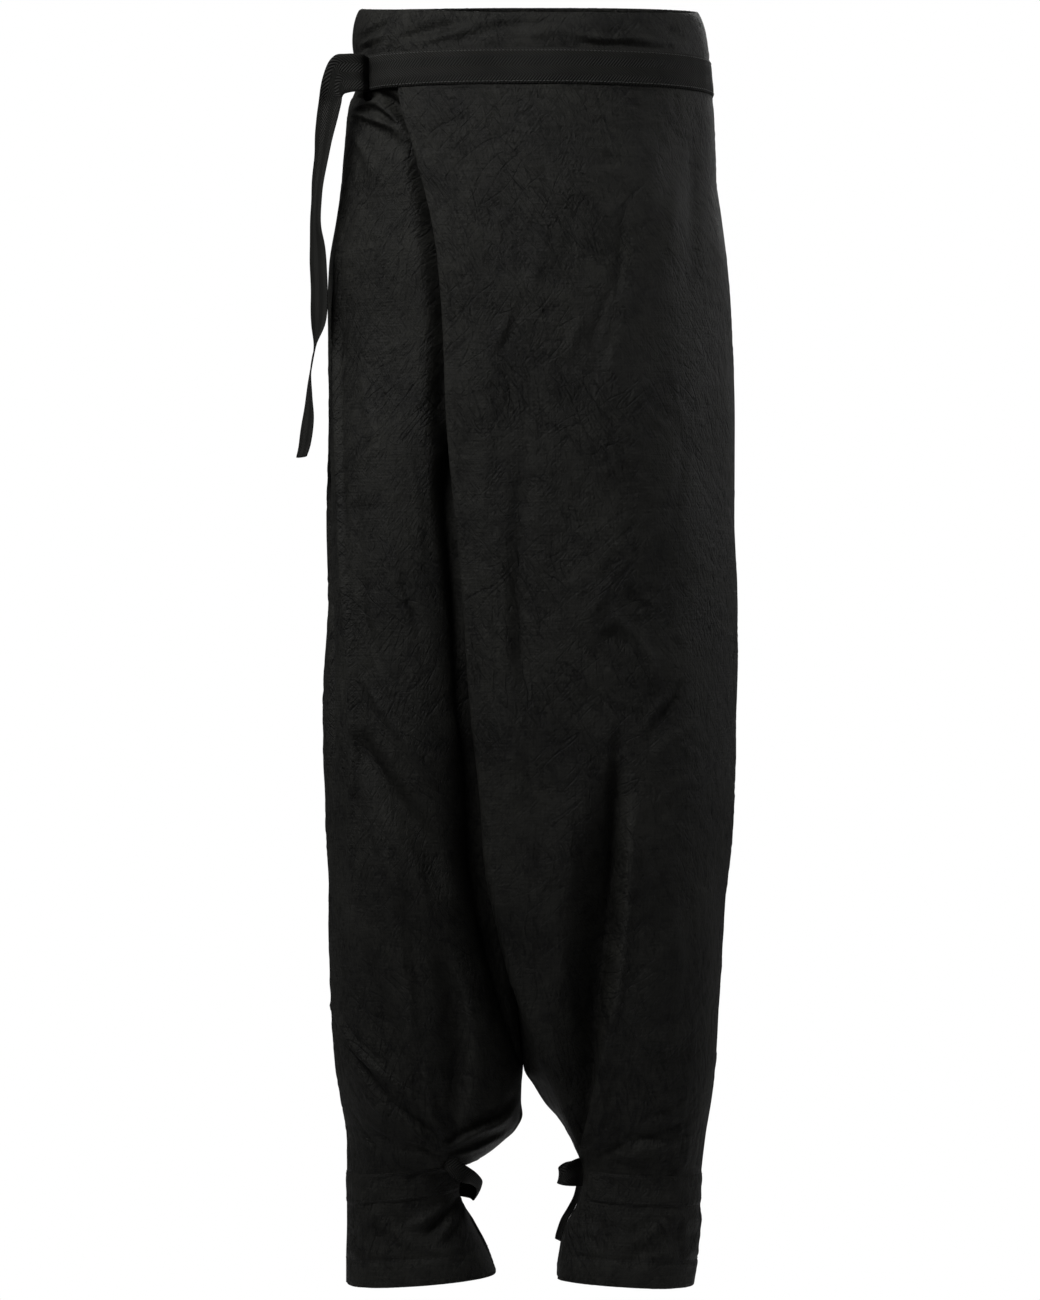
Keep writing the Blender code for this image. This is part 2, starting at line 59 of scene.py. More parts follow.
TURN_ROUNDNESS = 2.2        # the same where the right front curls back at its inner edge
BACK_ROUNDNESS = 2.0        # and from each back's crown in to its centre or inseam
WAIST_SEAM_Z = -0.0152      # where the panels are sewn to the waistband
WAIST_HALF_DEPTH = 0.098
BAND_TOP_Z = 0.047          # top of the waistband at the centre front
BAND_BACK_RISE = 0.028      # the waistband stands this much higher at the centre back
HIP_RISE = 0.0030           # and this much higher over the right hip
OVERLAP_EDGE_X = -0.111     # where the overlapping front ends on the waistband
HIDDEN_EDGE_Z = -0.290      # above this the right front ends freely beneath the overlap
HIDDEN_EDGE_BLEND = 0.060   # and within this height below it reaches the rise seam
FOLD_RETURN = 0.024         # width of cloth turned under along the folded edge
RETURN_START = -0.08        # the turned cloth starts this share of its width off the fold
RETURN_DROP = 3.0           # its thickness is reached after one part in this many
EDGE_CURL = (0.0020, 0.0010)  # the right front's hidden free edge ends this far past its turn
CROTCH_Z = -0.848
HEM_Z = -1.031
SLOT_X = -0.1355            # the slot at the wearer's right hip
SLOT_HALF = 0.0025          # the tape ends this far past the slot
SLOT_PULL = 0.0080          # the tie draws the cloth in this far at the slot
HIP_PULL = 0.0080           # and the waist this far in beside it
SLOT_BAR_COLUMNS = 7
# Heights down the bar over the slot, and how far each stands off the waistband's face
SLOT_BAR_ROWS = ((0.0125, -0.0010), (0.0090, 0.0012), (-0.0185, 0.0014), (-0.0235, -0.0008))

# Where the eye stands: straight in front, level with the middle of the trousers
CAMERA_AT = (-0.006, -4.0, -0.489)
CAMERA_LENS = 129.05
SENSOR_WIDTH = 36.0
FLOOR_Z = -1.45             # clear below the hem, as the trousers hang in their worn form
FLOOR_RADIUS = 2.2
FLOOR_SIDES = 96
FLOOR_GLOW = 0.15
KEY_SPREAD = 62.0           # the key light has a grid that narrows it to this many degrees
OPEN_SPREAD = 180.0         # the other lights have none
SURROUND = (0.00, 0.30)     # how brightly the surround lights things, from below and above
SURROUND_RISE = (-0.3, 0.8)  # the heights on its unit globe where those two are reached
# Soft boxes: name, power in watts, width, place and the point each one faces
LIGHTS = (("key", 12.6, 1.15, (-0.88, -1.02, 1.02), (0.0, 0.0, -0.32)),
          ("right_side", 11.0, 0.7, (1.25, 0.30, 0.10), (0.1, 0.0, -0.40)),
          ("behind", 26.0, 1.2, (0.45, 1.95, 0.85), (0.0, 0.0, -0.50)))

# Short names of the pieces made of tape
SHORT = {"waist_tape": "tape_round_waist", "slot_bar": "bar_over_slot",
         "tie_end": "hanging_tie", "left_strap_loop": "left_loop",
         "right_strap_loop": "right_loop", "left_strap_end": "left_strap_tip"}

# Each sheet of cloth: the size it was cut to, how it is held, what it lies on and its area
SHEETS = {
    "left_front_panel": ((0.52, 1.03), "hung", ("waistband_left_front",), 0.350),
    "right_front_panel": ((0.42, 1.03), "hung", ("waistband_right_front",), 0.270),
    "left_back_panel": ((0.36, 1.03), "hung", ("waistband_back",), 0.275),
    "right_back_panel": ((0.36, 1.03), "hung", ("waistband_back",), 0.275),
    "waistband_left_front": ((0.33, 0.072), "stretched", ("waist_tape",), None),
    "waistband_right_front": ((0.24, 0.072), "stretched", ("waistband_left_front",), None),
    "waistband_back": ((0.42, 0.100), "stretched", ("waistband_left_front",), None),
    "waist_tape": ((0.38, 0.030), "stretched", ("waistband_left_front",), None),
    "tie_end": ((0.36, 0.030), "hung", ("slot_bar",), None),
    "left_ankle_band": ((0.31, 0.030), "gathered", ("left_front_panel",), None),
    "right_ankle_band": ((0.33, 0.030), "gathered", ("right_front_panel",), None),
    "left_strap_loop": ((0.085, 0.018), "folded", ("left_ankle_band",), None),
    "right_strap_loop": ((0.085, 0.016), "folded", ("right_ankle_band",), None),
    "left_strap_end": ((0.050, 0.011), "hung", ("left_strap_loop",), None)}


class Table:
    """Named sizes at a few heights, joined by a smooth curve that never overshoots."""

    def __init__(self, columns, *rows):
        data = np.array(sorted(rows), dtype=float)
        self.z = data[:, 0]
        self.values = dict(zip(columns.split()[1:], data[:, 1:].T))

    def at(self, column, z):
        """Value of a column at height z, from a monotone cubic through the rows."""
        v = self.values[column]
        z = min(max(z, self.z[0]), self.z[-1])
        i = int(min(np.searchsorted(self.z, z, side="right") - 1, len(self.z) - 2))
        steps = np.diff(self.z)
        slopes = np.diff(v) / steps
        tangents = np.zeros(len(v))
        tangents[0], tangents[-1] = slopes[0], slopes[-1]
        for k in range(1, len(v) - 1):
            if slopes[k - 1] * slopes[k] > 0.0:
                tangents[k] = 2.0 / (1.0 / slopes[k - 1] + 1.0 / slopes[k])
        h = steps[i]
        t = (z - self.z[i]) / h
        return float((2 * t**3 - 3 * t**2 + 1) * v[i] + (t**3 - 2 * t**2 + t) * h * tangents[i]
                     + (3 * t**2 - 2 * t**3) * v[i + 1] + (t**3 - t**2) * h * tangents[i + 1])


# Outline seen from the front and from the side: both side seams, front and back
BODY = Table(
    "z      right    left    front   back",
    (0.075, -0.1455, 0.1475, -0.091, 0.094),
    (0.047, -0.1500, 0.1515, -0.094, 0.098),
    (0.015, -0.1530, 0.1535, -0.099, 0.102),
    (-0.015, -0.1525, 0.1590, -0.103, 0.107),
    (-0.040, -0.1540, 0.1612, -0.108, 0.113),
    (-0.080, -0.1582, 0.1616, -0.115, 0.121),
    (-0.120, -0.1635, 0.1668, -0.121, 0.129),
    (-0.160, -0.1692, 0.1727, -0.125, 0.133),
    (-0.200, -0.1708, 0.1755, -0.128, 0.134),
    (-0.280, -0.1708, 0.1777, -0.130, 0.132),
    (-0.350, -0.1708, 0.1786, -0.130, 0.128),
    (-0.430, -0.1702, 0.1795, -0.129, 0.125),
    (-0.500, -0.1735, 0.1803, -0.127, 0.123),
    (-0.570, -0.1751, 0.1777, -0.124, 0.120),
    (-0.635, -0.1725, 0.1760, -0.120, 0.116),
    (-0.705, -0.1700, 0.1700, -0.113, 0.110),
    (-0.772, -0.1691, 0.1657, -0.103, 0.102),
    (-0.840, -0.1648, 0.1622, -0.089, 0.091),
    (-0.875, -0.1596, 0.1579, -0.079, 0.082),
    (-0.910, -0.1545, 0.1528, -0.068, 0.071),
    (-0.944, -0.1545, 0.1494, -0.057, 0.060),
    (-0.978, -0.1545, 0.1485, -0.057, 0.060),
    (-1.012, -0.1554, 0.1459, -0.060, 0.063),
    (-1.031, -0.1554, 0.1435, -0.061, 0.064))

# Overlapping left front: its crown (foremost point), the folded edge, the point where the
# section's curve would meet the side again, and the thickness of the folded edge
OVERLAP = Table(
    "z      crown   fold    reach    depth",
    (0.075, 0.000, -0.1110, -0.1455, 0.0029),
    (0.047, 0.000, -0.1110, -0.1500, 0.0029),
    (-0.015, 0.000, -0.1100, -0.1530, 0.0029),
    (-0.072, 0.000, -0.0959, -0.1580, 0.0046),
    (-0.127, 0.010, -0.0826, -0.1650, 0.0058),
    (-0.165, 0.010, -0.0760, -0.1690, 0.0062),
    (-0.200, 0.015, -0.0726, -0.1710, 0.0062),
    (-0.275, 0.020, -0.0692, -0.1710, 0.0062),
    (-0.341, 0.020, -0.0643, -0.1710, 0.0062),
    (-0.428, 0.025, -0.0568, -0.1680, 0.0062),
    (-0.527, 0.030, -0.0515, -0.1550, 0.0062),
    (-0.611, 0.045, -0.0426, -0.1230, 0.0062),
    (-0.663, 0.055, -0.0385, -0.1060, 0.0062),
    (-0.701, 0.060, -0.0310, -0.0917, 0.0062),
    (-0.739, 0.065, -0.0235, -0.0730, 0.0062),
    (-0.767, 0.068, -0.0160, -0.0590, 0.0062),
    (-0.798, 0.070, -0.0027, -0.0360, 0.0062),
    (-0.836, 0.080, 0.0125, -0.0120, 0.0062),
    (-0.860, 0.088, 0.0234, 0.0030, 0.0062),
    (-0.880, 0.092, 0.0293, 0.0140, 0.0062),
    (-0.899, 0.095, 0.0361, 0.0240, 0.0062),
    (-0.918, 0.097, 0.0430, 0.0346, 0.0062),
    (-0.930, 0.099, 0.0475, 0.0405, 0.0062),
    (-0.950, 0.098, 0.0465, 0.0395, 0.0062),
    (-0.974, 0.094, 0.0400, 0.0333, 0.0062),
    (-0.988, 0.091, 0.0325, 0.0257, 0.0062),
    (-1.005, 0.088, 0.0280, 0.0212, 0.0062),
    (-1.031, 0.086, 0.0262, 0.0190, 0.0062))

# Underlapping right front: its crown, how deep it stands, and the turn where the cloth
# curls back from the front into the leg's inner wall
UNDERLAP = Table(
    "z      crown   front   turn_x   turn_y",
    (0.075, 0.000, -0.0875, 0.030, -0.0860),
    (0.047, 0.000, -0.0900, 0.030, -0.0885),
    (-0.015, 0.000, -0.0968, 0.030, -0.0953),
    (-0.040, 0.000, -0.1005, 0.030, -0.0990),
    (-0.072, 0.000, -0.1045, 0.030, -0.1025),
    (-0.127, 0.010, -0.1120, 0.038, -0.1100),
    (-0.200, 0.005, -0.1175, 0.030, -0.1150),
    (-0.240, -0.030, -0.1150, 0.000, -0.1120),
    (-0.275, -0.065, -0.1130, -0.035, -0.1080),
    (-0.310, -0.090, -0.1155, -0.062, -0.1050),
    (-0.360, -0.103, -0.1180, -0.0700, -0.1030),
    (-0.428, -0.105, -0.1195, -0.0655, -0.1010),
    (-0.466, -0.105, -0.1200, -0.0630, -0.0990),
    (-0.527, -0.104, -0.1200, -0.0615, -0.0950),
    (-0.565, -0.103, -0.1190, -0.0565, -0.0915),
    (-0.611, -0.102, -0.1165, -0.0530, -0.0870),
    (-0.663, -0.100, -0.1130, -0.0510, -0.0800),
    (-0.701, -0.098, -0.1095, -0.0445, -0.0730),
    (-0.739, -0.095, -0.1045, -0.0375, -0.0640),
    (-0.767, -0.092, -0.1005, -0.0295, -0.0550),
    (-0.798, -0.088, -0.0955, -0.0210, -0.0420),
    (-0.836, -0.083, -0.0885, -0.0085, -0.0190),
    (-0.852, -0.081, -0.0855, -0.0048, -0.0080),
    (-0.874, -0.081, -0.0805, -0.0050, -0.0050),
    (-0.895, -0.083, -0.0750, -0.0065, -0.0040),
    (-0.912, -0.087, -0.0690, -0.0135, -0.0040),
    (-0.926, -0.093, -0.0640, -0.0260, -0.0040),
    (-0.936, -0.100, -0.0590, -0.0395, -0.0040),
    (-0.942, -0.105, -0.0565, -0.0552, -0.0040),
    (-0.966, -0.106, -0.0560, -0.0578, -0.0040),
    (-0.978, -0.104, -0.0565, -0.0525, -0.0040),
    (-0.990, -0.100, -0.0575, -0.0472, -0.0040),
    (-1.010, -0.095, -0.0595, -0.0365, -0.0040),
    (-1.031, -0.091, -0.0610, -0.0268, -0.0040))

# Inner ends of the front panels: the hidden rise seam down to the crotch, and then each
# leg's inseam; and how far the centre-back seam lies in front of the back's crown
INNER = Table(
    "z      rise_x  rise_y  left_in  right_in  back_x  dip",
    (0.075, -0.035, -0.0980, 0.000, 0.000, 0.000, 0.0006),
    (-0.015, -0.035, -0.0980, 0.000, 0.000, 0.000, 0.0008),
    (-0.080, -0.035, -0.0980, 0.000, 0.000, 0.000, 0.0015),
    (-0.200, -0.035, -0.0980, 0.000, 0.000, 0.000, 0.0050),
    (-0.350, -0.035, -0.0980, 0.000, 0.000, 0.000, 0.0070),
    (-0.450, -0.035, -0.0950, 0.000, 0.000, 0.000, 0.0090),
    (-0.550, -0.030, -0.0860, 0.000, 0.000, 0.000, 0.0150),
    (-0.650, -0.022, -0.0680, 0.000, 0.000, 0.000, 0.0230),
    (-0.720, -0.015, -0.0500, 0.000, 0.000, 0.000, 0.0310),
    (-0.770, -0.010, -0.0340, 0.000, 0.000, 0.000, 0.0430),
    (-0.810, -0.006, -0.0180, 0.000, 0.000, 0.000, 0.0590),
    (-0.836, -0.004, -0.0070, -0.0020, -0.0040, -0.002, 0.0770),
    (-0.848, -0.003, -0.0010, -0.0025, -0.0035, -0.003, 0.0880),
    (-0.862, 0.000, 0.000, 0.0055, -0.0046, 0.000, 0.0880),
    (-0.879, 0.000, 0.000, 0.0158, -0.0050, 0.000, 0.0880),
    (-0.893, 0.000, 0.000, 0.0275, -0.0038, 0.000, 0.0880),
    (-0.909, 0.000, 0.000, 0.0365, -0.0095, 0.000, 0.0880),
    (-0.926, 0.000, 0.000, 0.0440, -0.0260, 0.000, 0.0880),
    (-0.936, 0.000, 0.000, 0.0482, -0.0395, 0.000, 0.0880),
    (-0.942, 0.000, 0.000, 0.0485, -0.0552, 0.000, 0.0880),
    (-0.966, 0.000, 0.000, 0.0440, -0.0578, 0.000, 0.0880),
    (-0.990, 0.000, 0.000, 0.0320, -0.0448, 0.000, 0.0880),
    (-1.010, 0.000, 0.000, 0.0275, -0.0341, 0.000, 0.0880),
    (-1.031, 0.000, 0.000, 0.0257, -0.0268, 0.000, 0.0880))

# Crowns (rearmost points) of the two back panels
SEAT = Table(
    "z      left   right",
    (0.075, 0.020, -0.020),
    (-0.100, 0.045, -0.045),
    (-0.350, 0.052, -0.052),
    (-0.550, 0.062, -0.062),
    (-0.720, 0.076, -0.076),
    (-0.848, 0.086, -0.084),
    (-0.910, 0.094, -0.088),
    (-0.944, 0.099, -0.105),
    (-0.978, 0.095, -0.103),
    (-1.031, 0.087, -0.091))

# How much higher than its outer side a section's inner side lies, and how far the turned
# edge of the overlap has become the leg's deep inner wall (0 flat, 1 deep)
SLANT = Table(
    "z      left    right   deep",
    (0.000, 0.000, 0.000, 0.0),
    (-0.340, 0.000, 0.000, 0.0),
    (-0.480, 0.000, 0.000, 0.85),
    (-0.550, 0.000, 0.000, 1.0),
    (-0.850, 0.000, 0.000, 1.0),
    (-0.942, 0.0040, 0.0125, 1.0),
    (-0.990, 0.0050, 0.0105, 1.0),
    (-1.031, 0.0065, 0.0090, 1.0))

# The tie end where it hangs: centre line and how far its face is turned from the front
TIE_HANG = Table(
    "z      x        y       turn",
    (-0.0270, -0.1672, -0.052, 49.0),
    (-0.0480, -0.1712, -0.050, 55.0),
    (-0.0680, -0.1734, -0.049, 64.0),
    (-0.0890, -0.1770, -0.048, 68.0),
    (-0.1090, -0.1781, -0.047, 73.0),
    (-0.1300, -0.1790, -0.047, 72.0),
    (-0.1500, -0.1775, -0.047, 66.0),
    (-0.1850, -0.1762, -0.048, 61.0),
    (-0.2120, -0.1766, -0.048, 64.0),
    (-0.2320, -0.1798, -0.047, 84.0),
    (-0.2520, -0.1830, -0.045, 95.0),
    (-0.2730, -0.1845, -0.044, 102.0),
    (-0.2930, -0.1856, -0.043, 111.0),
    (-0.3130, -0.1885, -0.042, 110.0),
    (-0.3250, -0.1915, -0.041, 108.0))

# The tie end where it leaves the slot and folds over, and the straps at the ankles: the
# two edges of each strip, one row for each station along it
TIE_FOLD = (
    # upper or outer edge x, y, z       lower or inner edge x, y, z
    ((-0.1345, -0.0490, 0.0125), (-0.1345, -0.0490, -0.0160)),
    ((-0.1368, -0.0560, 0.0135), (-0.1368, -0.0560, -0.0163)),
    ((-0.1398, -0.0612, 0.0142), (-0.1396, -0.0612, -0.0166)),
    ((-0.1450, -0.0625, 0.0146), (-0.1445, -0.0625, -0.0168)),
    ((-0.1530, -0.0612, 0.0146), (-0.1500, -0.0612, -0.0174)),
    ((-0.1618, -0.0600, 0.0136), (-0.1545, -0.0605, -0.0186)),
    ((-0.1686, -0.0585, 0.0062), (-0.1562, -0.0605, -0.0205)),
    ((-0.1737, -0.0555, -0.0085), (-0.1570, -0.0615, -0.0228)))

LEFT_STRAP_LOOP = (
    ((0.0520, -0.0200, -0.9219), (0.0510, -0.0200, -0.9470)),
    ((0.0450, -0.0225, -0.9225), (0.0445, -0.0225, -0.9462)),
    ((0.0385, -0.0290, -0.9240), (0.0375, -0.0290, -0.9455)),
    ((0.0325, -0.0320, -0.9268), (0.0310, -0.0320, -0.9446)),
    ((0.0287, -0.0270, -0.9312), (0.0268, -0.0270, -0.9440)),
    ((0.0280, -0.0140, -0.9330), (0.0268, -0.0140, -0.9450)),
    ((0.0285, 0.0020, -0.9325), (0.0275, 0.0020, -0.9470)),
    ((0.0350, 0.0130, -0.9300), (0.0345, 0.0130, -0.9490)),
    ((0.0500, 0.0190, -0.9290), (0.0500, 0.0190, -0.9500)))

RIGHT_STRAP_LOOP = (
    ((-0.0730, -0.0500, -0.9150), (-0.0730, -0.0500, -0.9280)),
    ((-0.0670, -0.0605, -0.9177), (-0.0685, -0.0605, -0.9304)),
    ((-0.0593, -0.0600, -0.9202), (-0.0601, -0.0595, -0.9371)),
    ((-0.0517, -0.0535, -0.9261), (-0.0533, -0.0530, -0.9405)),
    ((-0.0440, -0.0420, -0.9329), (-0.0483, -0.0410, -0.9430)),
    ((-0.0390, -0.0270, -0.9400), (-0.0432, -0.0260, -0.9490)),
    ((-0.0384, -0.0120, -0.9450), (-0.0452, -0.0110, -0.9599)),
    ((-0.0438, 0.0000, -0.9420), (-0.0489, 0.0000, -0.9592)),
    ((-0.0610, 0.0110, -0.9380), (-0.0620, 0.0110, -0.9577)))

LEFT_STRAP_END = (
    ((0.0440, 0.0170, -0.9480), (0.0490, 0.0080, -0.9480)),
    ((0.0410, 0.0165, -0.9600), (0.0455, 0.0080, -0.9600)),
    ((0.0358, 0.0160, -0.9700), (0.0405, 0.0075, -0.9705)),
    ((0.0301, 0.0155, -0.9796), (0.0345, 0.0070, -0.9805)),
    ((0.0262, 0.0150, -0.9905), (0.0305, 0.0065, -0.9915)),
    ((0.0250, 0.0150, -0.9960), (0.0293, 0.0065, -0.9970)))


# ---- level sections --------------------------------------------------------------------
SMOOTH = 48                 # points along each stretch of a section, before it is spaced


def quarter(side, crown, power=ROUNDNESS):
    """Quarter of a rounded section from its side point to its crown."""
    t = np.linspace(0.0, math.pi / 2, SMOOTH)
    x = crown[0] + (side[0] - crown[0]) * np.cos(t) ** (2 / power)
    y = side[1] + (crown[1] - side[1]) * np.sin(t) ** (2 / power)
    return np.column_stack((x, y))


def overlap_curve(z, x):
    """Points at given x on the left front's outer face, to the right of its crown."""
    crown = OVERLAP.at("crown", z)
    share = np.clip((crown - x) / (crown - OVERLAP.at("reach", z)), 0.0, 1.0)
    y = BODY.at("front", z) * (1.0 - share**ROUNDNESS) ** (1 / ROUNDNESS)
    return np.column_stack((x, y))


def overlap_outline(z, end_x):
    """Left side seam, round the front, to an end on the wearer's right."""
    side = (BODY.at("left", z), -SEAM_GAP / 2)
    crown = (OVERLAP.at("crown", z), BODY.at("front", z))
    return [quarter(side, crown), overlap_curve(z, np.linspace(crown[0], end_x, SMOOTH))]


def inner_end(leg, z):
    """Where a leg's front panel ends: on the rise seam, or below the crotch on the inseam."""
    aside = SEAM_GAP / 2 if leg == "left" else -SEAM_GAP / 2
    if z >= CROTCH_Z:
        return np.array((INNER.at("rise_x", z) + aside, INNER.at("rise_y", z)))
    return np.array((INNER.at(leg + "_in", z), -SEAM_GAP / 2))


def moved_out(path, distance):
    """Move a path sideways in the level plane, to the left of its direction."""
    step = np.gradient(path[:, :2], axis=0)
    step /= np.linalg.norm(step, axis=1)[:, None]
    moved = path.copy()
    moved[:, 0] -= step[:, 1] * distance
    moved[:, 1] += step[:, 0] * distance
    return moved


def folded_under(z, fold):
    """Cloth turned under at the fold, which lower down is the leg's inner wall."""
    s = np.linspace(0.0, 1.0, SMOOTH)[1:]
    under = overlap_curve(z, fold[0] + FOLD_RETURN * (s + RETURN_START))
    sunk = OVERLAP.at("depth", z) * np.minimum(s * RETURN_DROP, 1.0)
    flat = moved_out(under[::-1], -sunk[::-1])[::-1]
    deep = fold + (inner_end("left", z) - fold) * s[:, None]
    weight = SLANT.at("deep", z)
    return np.vstack((fold, flat * (1.0 - weight) + deep * weight))


def left_front_section(z):
    outline = overlap_outline(z, OVERLAP.at("fold", z))
    return [*outline, folded_under(z, outline[1][-1])]


def right_front_section(z):
    side = (BODY.at("right", z), -SEAM_GAP / 2)
    crown = (UNDERLAP.at("crown", z), UNDERLAP.at("front", z))
    turn = np.array((UNDERLAP.at("turn_x", z), UNDERLAP.at("turn_y", z)))
    joined = ramp(HIDDEN_EDGE_Z - z, 0.0, HIDDEN_EDGE_BLEND)
    end = turn + EDGE_CURL + (inner_end("right", z) - turn - EDGE_CURL) * joined
    wall = turn + (end - turn) * np.linspace(0.0, 1.0, SMOOTH)[:, None]
    return [quarter(side, crown), quarter(turn, crown, TURN_ROUNDNESS)[::-1], wall]


def back_section(leg, z):
    """Half of the back, from the side seam round to the centre back or the inseam."""
    side = (BODY.at(leg, z), SEAM_GAP / 2)
    crown = (SEAT.at(leg, z), BODY.at("back", z))
    if z >= CROTCH_Z:
        aside = SEAM_GAP / 2 if leg == "left" else -SEAM_GAP / 2
        end = (INNER.at("back_x", z) + aside, crown[1] - INNER.at("dip", z))
    else:
        end = (INNER.at(leg + "_in", z), SEAM_GAP / 2)
    return [quarter(side, crown), quarter(end, crown, BACK_ROUNDNESS)[::-1]]


def spaced(stretches, counts):
    """One row of points, evenly spaced along each stretch of a section in turn."""
    row = []
    for path, count in zip(stretches, counts):
        run = np.append(0.0, np.cumsum(np.linalg.norm(np.diff(path, axis=0), axis=1)))
        at = np.linspace(0.0, run[-1], count + 1)
        points = np.column_stack([np.interp(at, run, path[:, k]) for k in (0, 1)])
        row.append(points[1:] if row else points)
    return np.vstack(row)


def slanted(leg, z, row):
    """Lift a level row's inner side, as the cuffs and the ankle straps lie."""
    outer = row[0, 0]
    inner = INNER.at(leg + "_in", z)
    share = np.clip((row[:, 0] - outer) / (inner - outer), 0.0, 1.0)
    return np.column_stack((row, z + SLANT.at(leg, z) * share))


# ---- cloth grids -----------------------------------------------------------------------
GRAIN_CELLS = (61, 67)      # the noise repeats after this many cells each way
GRAIN_GAIN = 1.6            # brings it to about -1 to 1
FOLD_REACH = 2.6            # a fold has died out at this many times its width
FOLD_LIP = 0.45             # how strongly a fold's sides swing over before that
# Slow waver of all the cloth: the axis it moves, the axis it runs along, its height, the
# length and drop of its waves, and its seed
WAVER = ((0, 1, 0.0012, 0.070, 0.11, 11), (1, 0, 0.0020, 0.075, 0.12, 12))


def grain(u, v, seed):
    """Smooth noise, about -1 to 1, over the unit cells of a plane."""
    turns = np.random.default_rng(seed).random(GRAIN_CELLS) * 2 * math.pi
    iu, iv = np.floor(u).astype(int), np.floor(v).astype(int)
    total = np.zeros(np.shape(u))
    for du in (0, 1):
        for dv in (0, 1):
            turn = turns[(iu + du) % GRAIN_CELLS[0], (iv + dv) % GRAIN_CELLS[1]]
            pu, pv = u - iu - du, v - iv - dv
            qu, qv = 1 - np.abs(pu), 1 - np.abs(pv)
            weight = qu**3 * (qu * (6 * qu - 15) + 10) * qv**3 * (qv * (6 * qv - 15) + 10)
            total += weight * (np.cos(turn) * pu + np.sin(turn) * pv)
    return total * GRAIN_GAIN


def ramp(x, low, high):
    """0 below low, 1 above high, and a smooth rise between."""
    t = np.clip((x - low) / (high - low), 0.0, 1.0)
    return t * t * (3 - 2 * t)


def smooth_line(points, steps=8):
    """A curve through a few rows of numbers, with more rows between them."""
    p = np.array(points, dtype=float)
    if len(p) < 3:
        t = np.linspace(0.0, 1.0, steps + 1)[:, None]
        return p[0] + (p[-1] - p[0]) * t
    p = np.vstack((2 * p[0] - p[1], p, 2 * p[-1] - p[-2]))
    rows = []
    for a, b, c, d in zip(p, p[1:], p[2:], p[3:]):
        for t in np.arange(steps) / steps:
            rows.append(b + 0.5 * t * (c - a + t * (2 * a - 5 * b + 4 * c - d
                                                     + t * (3 * (b - c) + d - a))))
    return np.vstack((rows, p[-2]))


